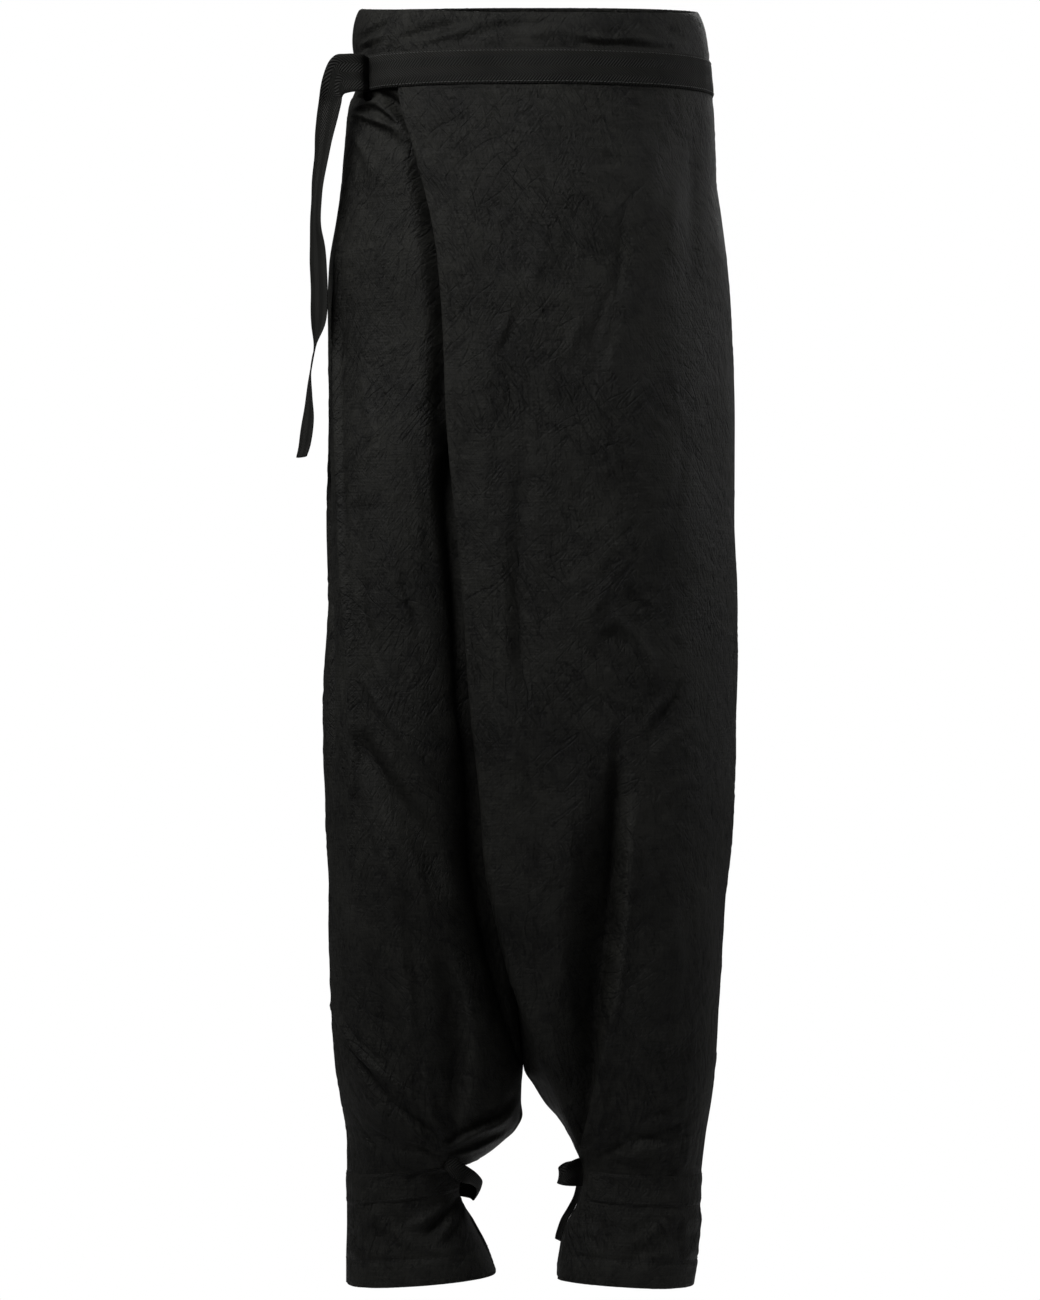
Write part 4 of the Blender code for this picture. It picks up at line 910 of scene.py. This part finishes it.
def left_front():
    cloth = panel("left", left_front_section, (SIDE, FACE, TURNED), "left")
    fold = SIDE + FACE
    cloth.press(LEFT_FRONT_FOLDS, fold + 1)
    cloth.press(creases(*LEFT_FRONT_CREASES, *LEFT_CUFF_CREASES), fold + 1)
    crumple(cloth, 3, CRUMPLE)
    banded(cloth)
    normals = cloth.normals()
    cloth.aim = normals.copy()
    for row, z in enumerate(LEVELS):
        deep = SLANT.at("deep", z)
        run, lift = cloth.run[row], cloth.lift[row]
        near_edge = ramp(-(run[fold] - run[:fold + 1]), -EDGE_CALM_WIDTH, 0.0)
        lift[:fold + 1] *= 1.0 - EDGE_CALM * near_edge
        # flat turned cloth follows the face; deep in the leg it keeps its own folds
        twin = np.interp(2 * run[fold] - run[fold:], run[:fold + 1], lift[:fold + 1])
        lift[fold:] = (1.0 - deep) * twin + deep * lift[fold:]
        near = slice(fold - 3, None)
        cloth.aim[row, near] = (1.0 - deep) * normals[row, fold - 4] + deep * normals[row, near]
    calm(cloth)
    cloth.settle()
    return cloth


def right_front():
    cloth = panel("right", right_front_section, (OUTER, CURL, WALLED), "right")
    turn = OUTER + CURL
    cloth.press(RIGHT_FRONT_FOLDS, turn + 1)
    cloth.press(creases(*RIGHT_FRONT_CREASES, *RIGHT_CUFF_CREASES), turn + 1)
    folded = cloth.lift.copy()
    crumple(cloth, 103, CRUMPLE)
    past = ramp(np.arange(cloth.run.shape[1]), OUTER - 4.0, OUTER + 8.0)[None, :, None]
    cloth.lift = folded + (cloth.lift - folded) * (1.0 - INNER_CALM * past[:, :, 0])
    banded(cloth)
    fold = np.array([OVERLAP.at("fold", z) for z in LEVELS])[:, None]
    hidden = ramp(cloth.x - fold, -0.002, 0.012) * ramp(LEVELS[:, None], -0.85, -0.80)
    cloth.lift = np.where(cloth.lift > 0.0, cloth.lift * (1.0 - hidden), cloth.lift)
    cloth.lift -= HIDDEN_SINK * hidden
    # past the crown every fold moves the cloth straight in or out, not sideways
    cloth.aim = cloth.normals()
    cloth.aim = cloth.aim * (1.0 - past) + np.array((0.0, -1.0, 0.0)) * past
    calm(cloth)
    cloth.settle()
    return cloth


def back(leg, folds, short, seed):
    cloth = panel(leg, lambda z: back_section(leg, z), (BACK_OUTER, BACK_INNER),
                  "right" if leg == "left" else "left")
    cloth.press(folds, BACK_OUTER + BACK_INNER + 1)
    cloth.press(creases(*short), BACK_OUTER + BACK_INNER + 1)
    crumple(cloth, seed, CRUMPLE)
    banded(cloth)
    calm(cloth)
    cloth.settle()
    return cloth


def band_edges(outline, counts):
    """Bottom and top edge of the waistband; the top rises from the centre front back."""
    low, high = (spaced(outline(z), counts) for z in (WAIST_SEAM_Z, BAND_TOP_Z))
    towards_back = np.clip((high[:, 1] / WAIST_HALF_DEPTH + 1.0) / 2, 0.0, 1.0)
    top = BAND_TOP_Z + BAND_BACK_RISE * towards_back**1.25
    top += HIP_RISE * ramp(-high[:, 0], 0.02, 0.12) * ramp(-high[:, 1], 0.0, 0.03)
    return (np.column_stack((low, np.full(len(low), WAIST_SEAM_Z))),
            np.column_stack((high, top)))


def whole_back(z):
    """The back of the waist in one sweep, from the left side seam to the right one."""
    left, right = (np.vstack(back_section(leg, z)) for leg in ("left", "right"))
    return [np.vstack((left[:-1], right[-2::-1]))]


def waistband(outline, counts, outward, folds, seed, columns=None, clear=0.015):
    """A stretch of the waistband; its creases keep clear of the tape over its lower part."""
    low, high = band_edges(outline, counts)
    share = np.linspace(1.0, 0.0, BAND_ROWS)[:, None, None]
    cloth = Cloth(low + (high - low) * share, outward)
    cloth.press(folds, columns)
    crumple(cloth, seed, BAND_CRUMPLE * CRUMPLE)
    cloth.lift *= ramp(cloth.level, clear, clear + 0.005)
    total = cloth.run[:, -1:]
    cloth.lift *= ramp(cloth.run, 0.0, 0.004) * ramp(total - cloth.run, -0.002, 0.004)
    cloth.lift -= BAND_CURL * share[:, :, 0] ** 7
    return cloth


def off_band(rows):
    """Paths round the waist to the slot, at given heights and distances off the band."""
    low, high = band_edges(lambda z: overlap_outline(z, SLOT_X - SLOT_HALF), BAND_FACE)
    for z, off in rows:
        share = (z - low[:, 2:]) / (high[:, 2:] - low[:, 2:])
        yield z, moved_out(low + (high - low) * share, off)


def waist_tape():
    """Flat tape sewn round the front of the waist, from the left side seam to the slot."""
    heights = np.linspace(TAPE_WIDTH / 2, -TAPE_WIDTH / 2, TAPE_ROWS)
    rows = [path for _, path in off_band((z, LAID_GAP + TAPE_WALL) for z in heights)]
    cloth = Cloth(np.array(rows), "left")
    cloth.lift += 0.0005 * ramp(grain(cloth.run / 0.030, cloth.level / 0.030, 71), -0.2, 0.9)
    cloth.lift -= 0.0030 * ramp(cloth.run - cloth.run[:, -1:], -0.0065, 0.0)
    cloth.lift += 0.0004 * ramp(grain(cloth.run / 0.011, cloth.level / 0.020, 72), -0.1, 0.9)
    cloth.lift *= ramp(cloth.run, 0.0, 0.004)
    cloth.lift -= 0.0008 * np.abs(2 * cloth.level / TAPE_WIDTH) ** 6
    return cloth


def slot_bar():
    """Narrow bar over the tape at the slot, seated on the waistband above and below it."""
    rows = []
    for z, path in off_band(smooth_line(SLOT_BAR_ROWS, 6)):
        x = np.linspace(path[-1, 0] + 2 * SLOT_HALF, path[-1, 0], SLOT_BAR_COLUMNS)
        order = np.argsort(path[:, 0])
        rows.append(np.column_stack((x, np.interp(x, path[order, 0], path[order, 1]),
                                     np.full(SLOT_BAR_COLUMNS, z))))
    return Cloth(np.array(rows), "left")


def strip(stations, cup, across=8, steps=8):
    """Strip through pairs of edge points, a little full across its width."""
    one, other = (smooth_line([pair[k] for pair in stations], steps) for k in (0, 1))
    t = np.linspace(0.0, 1.0, across + 1)[None, :, None]
    cloth = Cloth(one[:, None] * (1 - t) + other[:, None] * t, "left")
    middle = cloth.points[:, across // 2]
    along = np.append(0.0, np.cumsum(np.linalg.norm(np.diff(middle, axis=0), axis=1)))
    cloth.uv = np.stack((np.broadcast_to(along[:, None], cloth.run.shape), cloth.run), axis=-1)
    cloth.lift += cup * (1 - (2 * t[:, :, 0] - 1) ** 2)
    return cloth


def tie_end():
    """The tape's free end: folded over beside the slot, then hanging and turning."""
    stations = list(TIE_FOLD)
    for z in TIE_HANG.z[::-1]:
        centre = np.array((TIE_HANG.at("x", z), TIE_HANG.at("y", z), z))
        turn = TIE_HANG.at("turn", z)
        turn = math.radians(min(turn, 180.0 - turn))
        half = np.array((math.cos(turn), -math.sin(turn), 0.0)) * TAPE_WIDTH / 2
        stations.append((centre - half, centre + half))
    cloth = strip(stations, TIE_CUP, 10, 7)
    along = cloth.uv[:, :, 0]
    cloth.lift += 0.0010 * grain(along / 0.035 + 3, cloth.run / 0.05, 81) * ramp(along, 0.01, 0.05)
    cloth.drawn = 0.0
    return cloth


def ankle_band(front, rear, columns):
    """Band sewn round an ankle, from one edge of the inner gap round to the other."""
    rows = np.flatnonzero((LEVELS < ANKLE_TOP_Z) & (LEVELS > ANKLE_LOW_Z))
    rows = slice(rows[0], rows[-1] + 1)
    path = np.concatenate((front.points[rows, :columns][:, ::-1],
                           rear.points[rows, 1:-2]), axis=1)
    cloth = Cloth(path, rear.outward)
    z = LEVELS[rows][:, None]
    middle = (ANKLE_TOP_Z + ANKLE_LOW_Z) / 2
    full = 1.0 - (np.abs(z - middle) / (ANKLE_TOP_Z - middle)) ** 4
    cloth.lift += 0.0002 + ANKLE_FULL * full
    cloth.lift += 0.0006 * grain(cloth.run / 0.014, cloth.level / 0.012, 91)
    cloth.lift += 0.0004 * grain(cloth.run / 0.006, cloth.level / 0.020, 92)
    cloth.points = cloth.points + cloth.normals() * cloth.lift[:, :, None]
    return cloth


# ---- meshes ----------------------------------------------------------------------------
def place(name, cloth, wall, material):
    """A closed shell with a rounded rim on a grid, its wall growing inwards."""
    rows, columns = cloth.run.shape
    outer = cloth.points
    inner = outer - cloth.normals() * wall
    index = np.arange(rows * columns).reshape(rows, columns)
    a, b, c, d = index[:-1, :-1], index[:-1, 1:], index[1:, 1:], index[1:, :-1]
    front = np.stack((b, c, d, a) if cloth.outward == "left" else (a, d, c, b), -1)
    front = front.reshape(-1, 4)
    # the rim: round the grid once, with a middle line that stands out past both faces
    edge = np.concatenate((index[0, :-1], index[:-1, -1], index[-1, :0:-1], index[:0:-1, 0]))
    inside = np.concatenate((index[1, :-1], index[:-1, -2], index[-2, :0:-1], index[:0:-1, 1]))
    flat_outer, flat_inner = outer.reshape(-1, 3), inner.reshape(-1, 3)
    away = flat_outer[edge] - flat_outer[inside]
    away /= np.linalg.norm(away, axis=1)[:, None]
    rim = (flat_outer[edge] + flat_inner[edge]) / 2 + away * wall * RIM_ROUND
    total = rows * columns
    middle = 2 * total + np.arange(len(edge))
    step = np.roll(np.arange(len(edge)), -1)
    faces = [front, front[:, ::-1] + total]
    for near, far in ((edge, middle), (middle, edge + total)):
        wrap = np.stack((near, near[step], far[step], far), -1)
        faces.append(wrap if cloth.outward == "right" else wrap[:, ::-1])
    faces = np.concatenate(faces)
    flat_uv = cloth.uv.reshape(-1, 2)
    uv = np.concatenate((flat_uv, flat_uv, flat_uv[edge]))
    mesh = bpy.data.meshes.new(name)
    mesh.from_pydata(np.concatenate((flat_outer, flat_inner, rim)).tolist(), [], faces.tolist())
    layer = mesh.uv_layers.new(name="cloth")
    layer.data.foreach_set("uv", uv[faces.ravel()].ravel())
    mesh.validate()
    mesh.update()
    mesh.shade_smooth()
    mesh.materials.append(material)
    return add(name, mesh)


def add(name, mesh):
    """Put a finished mesh in the scene, as a piece that moves with the trousers."""
    piece = bpy.data.objects.new(name, mesh)
    bpy.context.scene.collection.objects.link(piece)
    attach(piece, "root")
    return piece


def stitch_tree(material):
    """Node tree that sets small stitches at a pitch along the lines of a mesh."""
    tree = bpy.data.node_groups.new("stitches", "GeometryNodeTree")
    sockets = {}
    tree.interface.new_socket("Geometry", in_out="INPUT", socket_type="NodeSocketGeometry")
    for label in ("Pitch", "Length", "Thickness"):
        socket = tree.interface.new_socket(label, in_out="INPUT", socket_type="NodeSocketFloat")
        sockets[label] = socket.identifier
    tree.interface.new_socket("Geometry", in_out="OUTPUT", socket_type="NodeSocketGeometry")
    make, link = tree.nodes.new, tree.links.new
    sizes, result = make("NodeGroupInput"), make("NodeGroupOutput")
    curve, spread = make("GeometryNodeMeshToCurve"), make("GeometryNodeResampleCurve")
    spread.mode = "LENGTH"
    along, turn = make("GeometryNodeInputTangent"), make("FunctionNodeAlignRotationToVector")
    turn.axis = "Z"
    stitch, scale = make("GeometryNodeMeshUVSphere"), make("ShaderNodeCombineXYZ")
    stitch.inputs["Segments"].default_value = 6
    stitch.inputs["Rings"].default_value = 4
    stitch.inputs["Radius"].default_value = 0.5
    each, real = make("GeometryNodeInstanceOnPoints"), make("GeometryNodeRealizeInstances")
    paint = make("GeometryNodeSetMaterial")
    paint.inputs["Material"].default_value = material
    link(sizes.outputs["Geometry"], curve.inputs["Mesh"])
    link(curve.outputs["Curve"], spread.inputs["Curve"])
    link(sizes.outputs["Pitch"], spread.inputs["Length"])
    link(spread.outputs["Curve"], each.inputs["Points"])
    link(stitch.outputs["Mesh"], each.inputs["Instance"])
    link(along.outputs["Tangent"], turn.inputs["Vector"])
    link(turn.outputs["Rotation"], each.inputs["Rotation"])
    for axis, label in (("X", "Thickness"), ("Y", "Thickness"), ("Z", "Length")):
        link(sizes.outputs[label], scale.inputs[axis])
    link(scale.outputs["Vector"], each.inputs["Scale"])
    link(each.outputs["Instances"], real.inputs["Geometry"])
    link(real.outputs["Geometry"], paint.inputs["Geometry"])
    link(paint.outputs["Geometry"], result.inputs["Geometry"])
    return tree, sockets


def stitches(name, lines, material, thickness):
    """Stitches along lines of points, as one plain mesh."""
    points, edges = [], []
    for line in lines:
        edges += [(len(points) + k, len(points) + k + 1) for k in range(len(line) - 1)]
        points += [tuple(point) for point in line]
    mesh = bpy.data.meshes.new(name + "_line")
    mesh.from_pydata(points, edges, [])
    guide = bpy.data.objects.new(name + "_line", mesh)
    bpy.context.scene.collection.objects.link(guide)
    tree, sockets = stitch_tree(material)
    modifier = guide.modifiers.new("stitches", "NODES")
    modifier.node_group = tree
    sizes = {"Pitch": STITCH_PITCH, "Length": STITCH_SHARE * STITCH_PITCH,
             "Thickness": thickness}
    for label, value in sizes.items():
        modifier[sockets[label]] = value
    evaluated = guide.evaluated_get(bpy.context.evaluated_depsgraph_get())
    result = bpy.data.meshes.new_from_object(evaluated)
    result.name = name
    bpy.data.objects.remove(guide, do_unlink=True)
    result.shade_smooth()
    return add(name, result)


# ---- finishes --------------------------------------------------------------------------
# Fine crease lines: direction in degrees, scale, stretch across, width and weight
CREASE_LINES = ((58.0, 12.0, 5.0, 0.020, 0.8), (-42.0, 13.0, 5.0, 0.020, 0.8),
                (78.0, 18.0, 4.5, 0.024, 0.8), (64.0, 34.0, 5.0, 0.040, 0.7),
                (-58.0, 40.0, 4.5, 0.040, 0.6), (48.0, 60.0, 4.0, 0.060, 0.5))
# The darkest and lightest shade of each stuff
CLOTH_SHADES = ((0.0014, 0.0014, 0.0012), (0.0086, 0.0086, 0.0074))
TAPE_SHADES = ((0.0004, 0.0004, 0.0004), (0.0118, 0.0118, 0.0108))
THREAD_SHADES = ((0.008, 0.008, 0.0076), (0.020, 0.020, 0.019))
FLOOR_SHADES = ((0.70, 0.70, 0.70), (0.74, 0.74, 0.74))
RIB_PITCH = 0.0026          # from one rib of the herringbone to the next, along the tape
SPINE_PITCH = 0.0075        # from one of its spines to the next, across the tape
SLOT_PAINTED_SHADE = 0.06           # painted shade: the bar over the slot is painted this much darker than the tape, to stand for the shadow in the slot


class Finish:
    """A material with a Principled shader, and short ways to add nodes to it."""

    def __init__(self, name):
        self.material = bpy.data.materials.new(name)
        self.material.use_nodes = True
        self.tree = self.material.node_tree
        self.shader = self.tree.nodes["Principled BSDF"]

    def feed(self, socket, value):
        if isinstance(value, bpy.types.NodeSocket):
            self.tree.links.new(value, socket)
        else:
            socket.default_value = value

    def node(self, kind, settings=None, **inputs):
        node = self.tree.nodes.new("ShaderNode" + kind)
        for key, value in (settings or {}).items():
            setattr(node, key, value)
        for key, value in inputs.items():
            self.feed(node.inputs[key.replace("_", " ")], value)
        return node

    def math(self, operation, a, b=0.0, c=0.0):
        node = self.tree.nodes.new("ShaderNodeMath")
        node.operation = operation
        for socket, value in zip(node.inputs, (a, b, c)):
            self.feed(socket, value)
        return node.outputs[0]

    def place(self, turn=0.0, scale=(1.0, 1.0, 1.0)):
        """The piece's own map, in metres, turned and scaled."""
        uv = self.node("UVMap", {"uv_map": "cloth"})
        return self.node("Mapping", {"vector_type": "TEXTURE"}, Vector=uv.outputs["UV"],
                         Scale=[1.0 / v for v in scale],
                         Rotation=(0.0, 0.0, math.radians(turn))).outputs["Vector"]

    def noise(self, where, scale, detail=3.0, rough=0.5, kind="FBM"):
        settings = {"noise_type": kind, "normalize": kind == "FBM"}
        return self.node("TexNoise", settings, Vector=where, Scale=scale, Detail=detail,
                         Roughness=rough).outputs[0]

    def spread(self, value, low, high, to_low, to_high):
        return self.node("MapRange", {"clamp": True}, Value=value, From_Min=low, From_Max=high,
                         To_Min=to_low, To_Max=to_high).outputs[0]

    def colour(self, factor, dark, light):
        mix = self.tree.nodes.new("ShaderNodeMix")
        mix.data_type = "RGBA"
        self.feed(mix.inputs[0], factor)
        mix.inputs[6].default_value = (*dark, 1.0)
        mix.inputs[7].default_value = (*light, 1.0)
        self.feed(self.shader.inputs["Base Color"], mix.outputs[2])

    def bump(self, height, distance, strength, normal=None):
        node = self.node("Bump", Height=height, Distance=distance, Strength=strength)
        if normal is not None:
            self.feed(node.inputs["Normal"], normal)
        return node.outputs["Normal"]

    def settle(self, **sockets):
        for key, value in sockets.items():
            self.feed(self.shader.inputs[key.replace("_", " ")], value)
        return self.material


def cloth_finish():
    """Near-black crinkled cloth: slubby plain weave with a low, soft sheen, and painted shade
    along its fine crease lines.
    """
    look = Finish("black_crinkled_cloth")
    flat = look.place()
    mottle = look.noise(flat, 17.0, 5.0, 0.62)
    slub = look.noise(look.place(scale=(70.0, 620.0, 1.0)), 1.0, 2.0)
    warp = look.noise(look.place(scale=(640.0, 60.0, 1.0)), 1.0, 2.0)
    threads = look.math("ADD", slub, warp)
    # thin crease lines in several directions, thick in some patches and absent in others; they are
    # bumped in and also painted darker as painted shade
    creases = None
    for turn, scale, stretch, width, weight in CREASE_LINES:
        where = look.place(turn, (1.0, stretch, 1.0))
        line = look.math("ABSOLUTE", look.math("SUBTRACT", look.noise(where, scale, 1.0), 0.5))
        line = look.spread(line, 0.0, width, weight, 0.0)
        patch = look.spread(look.noise(look.place(turn + 90.0), scale * 0.8, 1.0), 0.42, 0.60,
                            0.0, 1.0)
        line = look.math("MULTIPLY", line, patch)
        creases = line if creases is None else look.math("ADD", creases, line)
    shade = look.math("MULTIPLY_ADD", threads, 0.85, look.math("MULTIPLY", mottle, 1.2))
    # painted shade: the crease lines are painted darker into the colour
    shade = look.math("SUBTRACT", shade, look.math("MULTIPLY", creases, 0.30))
    look.colour(look.spread(shade, 1.08, 1.76, 0.0, 1.0), *CLOTH_SHADES)
    normal = look.bump(look.noise(flat, 26.0, 2.0, 0.5), 0.0024, 0.6)
    normal = look.bump(look.math("MULTIPLY", creases, -1.0), 0.00050, 1.0, normal)
    one = look.noise(look.place(62.0, (1.0, 4.5, 1.0)), 120.0, 4.0, 0.7)
    other = look.noise(look.place(-50.0, (1.0, 4.0, 1.0)), 150.0, 4.0, 0.7)
    normal = look.bump(look.math("ADD", one, other), 0.0020, 0.6, normal)
    normal = look.bump(threads, 0.00060, 0.7, normal)
    rough = look.spread(mottle, 0.3, 0.7, 0.52, 0.66)
    return look.settle(Normal=normal, Roughness=rough, Specular_IOR_Level=0.08)


def tape_finish(name="black_herringbone_tape", dark=1.0):
    """Near-black herringbone tape: diagonal ribs that turn at lengthwise spines."""
    look = Finish(name)
    where = look.node("SeparateXYZ", Vector=look.place()).outputs
    spine = look.math("PINGPONG", where[1], SPINE_PITCH)
    phase = look.math("MULTIPLY", look.math("ADD", where[0], spine), 2 * math.pi / RIB_PITCH)
    rib = look.math("MULTIPLY_ADD", look.math("SINE", phase), 0.5, 0.5)
    stripe = look.math("MODULO", look.math("ADD", where[1], 8 * SPINE_PITCH),
                       2 * SPINE_PITCH)
    stripe = look.math("GREATER_THAN", stripe, SPINE_PITCH)
    fuzz = look.noise(look.place(), 900.0, 2.0)
    worn = look.noise(look.place(), 26.0, 3.0)
    shade = look.math("MULTIPLY_ADD", rib, 0.90, look.math("MULTIPLY", fuzz, 0.30))
    shade = look.math("MULTIPLY", shade, look.math("MULTIPLY_ADD", stripe, 0.25, 0.85))
    # dark below 1 paints the whole tape darker as painted shade; the bar over the slot uses this
    look.colour(look.math("MULTIPLY", shade, look.spread(worn, 0.3, 0.7, 0.70, 1.15)),
                *([dark * v for v in shade_of] for shade_of in TAPE_SHADES))
    normal = look.bump(rib, 0.0006, 0.9)
    normal = look.bump(fuzz, 0.0003, 0.4, normal)
    return look.settle(Normal=normal, Roughness=look.spread(rib, 0.0, 1.0, 0.80, 0.62),
                       Specular_IOR_Level=0.05 * dark)


def thread_finish(name, light):
    """Matt sewing thread, a shade lighter than what it is sewn to."""
    look = Finish(name)
    where = look.node("TexCoord").outputs["Object"]
    fuzz = look.noise(where, 1500.0, 1.0)
    look.colour(fuzz, *([light * v for v in shade_of] for shade_of in THREAD_SHADES))
    return look.settle(Roughness=look.spread(fuzz, 0.2, 0.8, 0.50, 0.65),
                       Specular_IOR_Level=0.40 * light)


# ---- studio ----------------------------------------------------------------------------
def studio():
    """A pale floor, a white surround that lights from above, and three soft boxes."""
    scene = bpy.context.scene
    world = bpy.data.worlds.new("surround")
    world.use_nodes = True
    scene.world = world
    tree = world.node_tree
    tree.nodes.clear()
    path = tree.nodes.new("ShaderNodeLightPath")
    where = tree.nodes.new("ShaderNodeTexCoord")
    axes = tree.nodes.new("ShaderNodeSeparateXYZ")
    tree.links.new(where.outputs["Generated"], axes.inputs["Vector"])
    lit = tree.nodes.new("ShaderNodeMapRange")
    for label, value in zip(("From Min", "From Max", "To Min", "To Max"),
                            (*SURROUND_RISE, *SURROUND)):
        lit.inputs[label].default_value = value
    tree.links.new(axes.outputs["Z"], lit.inputs["Value"])
    strength = tree.nodes.new("ShaderNodeMapRange")
    tree.links.new(lit.outputs["Result"], strength.inputs["To Min"])
    strength.inputs["To Max"].default_value = 1.0
    glow = tree.nodes.new("ShaderNodeBackground")
    glow.inputs["Color"].default_value = (1.0, 1.0, 1.0, 1.0)
    result = tree.nodes.new("ShaderNodeOutputWorld")
    tree.links.new(path.outputs["Is Camera Ray"], strength.inputs["Value"])
    tree.links.new(strength.outputs["Result"], glow.inputs["Strength"])
    tree.links.new(glow.outputs["Background"], result.inputs["Surface"])
    for name, power, width, place_at, faces in LIGHTS:
        light = bpy.data.lights.new(name, "AREA")
        light.energy = power
        light.size = width
        light.spread = math.radians(KEY_SPREAD if name == "key" else OPEN_SPREAD)
        box = bpy.data.objects.new(name, light)
        box.location = place_at
        towards = Vector(faces) - Vector(place_at)
        box.rotation_euler = towards.to_track_quat("-Z", "Y").to_euler()
        box.visible_camera = False
        scene.collection.objects.link(box)
    mesh = bpy.data.meshes.new("floor")
    around = np.linspace(0.0, 2 * math.pi, FLOOR_SIDES + 1)[:-1]
    ring = np.column_stack((np.cos(around), np.sin(around), 0.0 * around)) * FLOOR_RADIUS
    mesh.from_pydata((ring + (0.0, 0.0, FLOOR_Z)).tolist(), [], [tuple(range(FLOOR_SIDES))])
    floor = bpy.data.objects.new("floor", mesh)
    paint = Finish("pale_floor")
    grains = paint.noise(paint.node("TexCoord").outputs["Object"], 3.0, 3.0)
    paint.colour(grains, *FLOOR_SHADES)
    mesh.materials.append(paint.settle(Roughness=0.9, Specular_IOR_Level=0.1,
                                       Emission_Color=(1.0, 1.0, 1.0, 1.0),
                                       Emission_Strength=FLOOR_GLOW))
    scene.collection.objects.link(floor)
    scene.view_settings.view_transform = "Standard"


def camera():
    """A long lens, level and straight in front."""
    data = bpy.data.cameras.new("camera")
    data.lens = CAMERA_LENS
    data.sensor_width = SENSOR_WIDTH
    data.clip_end = 200.0
    eye = bpy.data.objects.new("camera", data)
    eye.location = CAMERA_AT
    eye.rotation_euler = (math.pi / 2, 0.0, 0.0)
    bpy.context.scene.collection.objects.link(eye)
    bpy.context.scene.camera = eye


def stitch_line(grid, row):
    """Where stitches lie along one row of a piece."""
    return (grid.points + grid.normals() * STITCH_PROUD)[row]


# ---- the trousers ----------------------------------------------------------------------
def build():
    """Shape and sew all the pieces, and return them by the node each stands for."""
    cloth, tape = cloth_finish(), tape_finish()
    thread, tape_thread = thread_finish("black_thread", 0.35), thread_finish("tape_thread", 1.0)
    # a copy of the tape painted almost black, as painted shade for the shadow in the slot
    painted_shade_tape = tape_finish("slot_tape_painted_shade", SLOT_PAINTED_SHADE)
    fronts = {"left": left_front(), "right": right_front()}
    backs = {"left": back("left", LEFT_BACK_FOLDS, LEFT_BACK_CREASES, 203),
             "right": back("right", RIGHT_BACK_FOLDS, RIGHT_BACK_CREASES, 303)}
    bands = {
        "waistband_left_front": waistband(lambda z: overlap_outline(z, OVERLAP_EDGE_X),
                                          (80, 70), "left", BAND_FOLDS, 401, 151),
        "waistband_right_front": waistband(lambda z: right_front_section(z)[:2],
                                           (110, 16), "right", RIGHT_BAND_FOLDS, 402, 127),
        "waistband_back": waistband(whole_back, (190,), "right", BACK_BAND_FOLDS, 403,
                                    None, -0.012)}
    for band in bands.values():
        band.settle()
    on_tape = {"waist_tape": waist_tape(), "slot_bar": slot_bar(), "tie_end": tie_end()}
    straps = {"left_strap_loop": strip(LEFT_STRAP_LOOP, STRAP_CUP),
              "right_strap_loop": strip(RIGHT_STRAP_LOOP, STRAP_CUP),
              "left_strap_end": strip(LEFT_STRAP_END, TIE_CUP)}
    for thing in (*on_tape.values(), *straps.values()):
        thing.settle()
    ankles = {"left_ankle_band": ankle_band(fronts["left"], backs["left"], SIDE + FACE - 4),
              "right_ankle_band": ankle_band(fronts["right"], backs["right"], OUTER + CURL - 3)}

    pieces = {}
    for leg in ("left", "right"):
        pieces[leg + "_front_panel"] = place(leg + "_front", fronts[leg], WALL, cloth)
        pieces[leg + "_back_panel"] = place(leg + "_back", backs[leg], WALL, cloth)
    for node, grid in bands.items():
        pieces[node] = place(node.replace("waistband", "band"), grid, BAND_WALL, cloth)
    for node, grid in ankles.items():
        name = node.replace("ankle_band", "ankle_casing")
        pieces[node] = place(name, grid, WALL, cloth)
    for node, grid in on_tape.items():
        finish = painted_shade_tape if node == "slot_bar" else tape
        pieces[node] = place(SHORT[node], grid, TAPE_WALL, finish)
    for node, grid in straps.items():
        pieces[node] = place(SHORT[node], grid, TAPE_WALL, tape)
    for node, piece in pieces.items():
        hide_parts(node)

    row = int(np.argmin(np.abs(LEVELS - HEM_STITCH_Z)))
    seams = [stitch_line(grid, row) for grid in (*fronts.values(), *backs.values())]
    for grid in ankles.values():
        seams += [stitch_line(grid, 1), stitch_line(grid, -2)]
    stitches("cloth_stitches", seams, thread, THREAD)
    seams = [stitch_line(on_tape["waist_tape"], row) for row in (1, -2)]
    stitches("tape_stitches", seams, tape_thread, TAPE_THREAD)
    return pieces


def declare():
    """Turn what each sheet lies on into a list; nothing is stored or said."""
    for node, (flat, held, rests_on, area) in SHEETS.items():
        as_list(rests_on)


studio()
camera()
pieces = build()
declare()
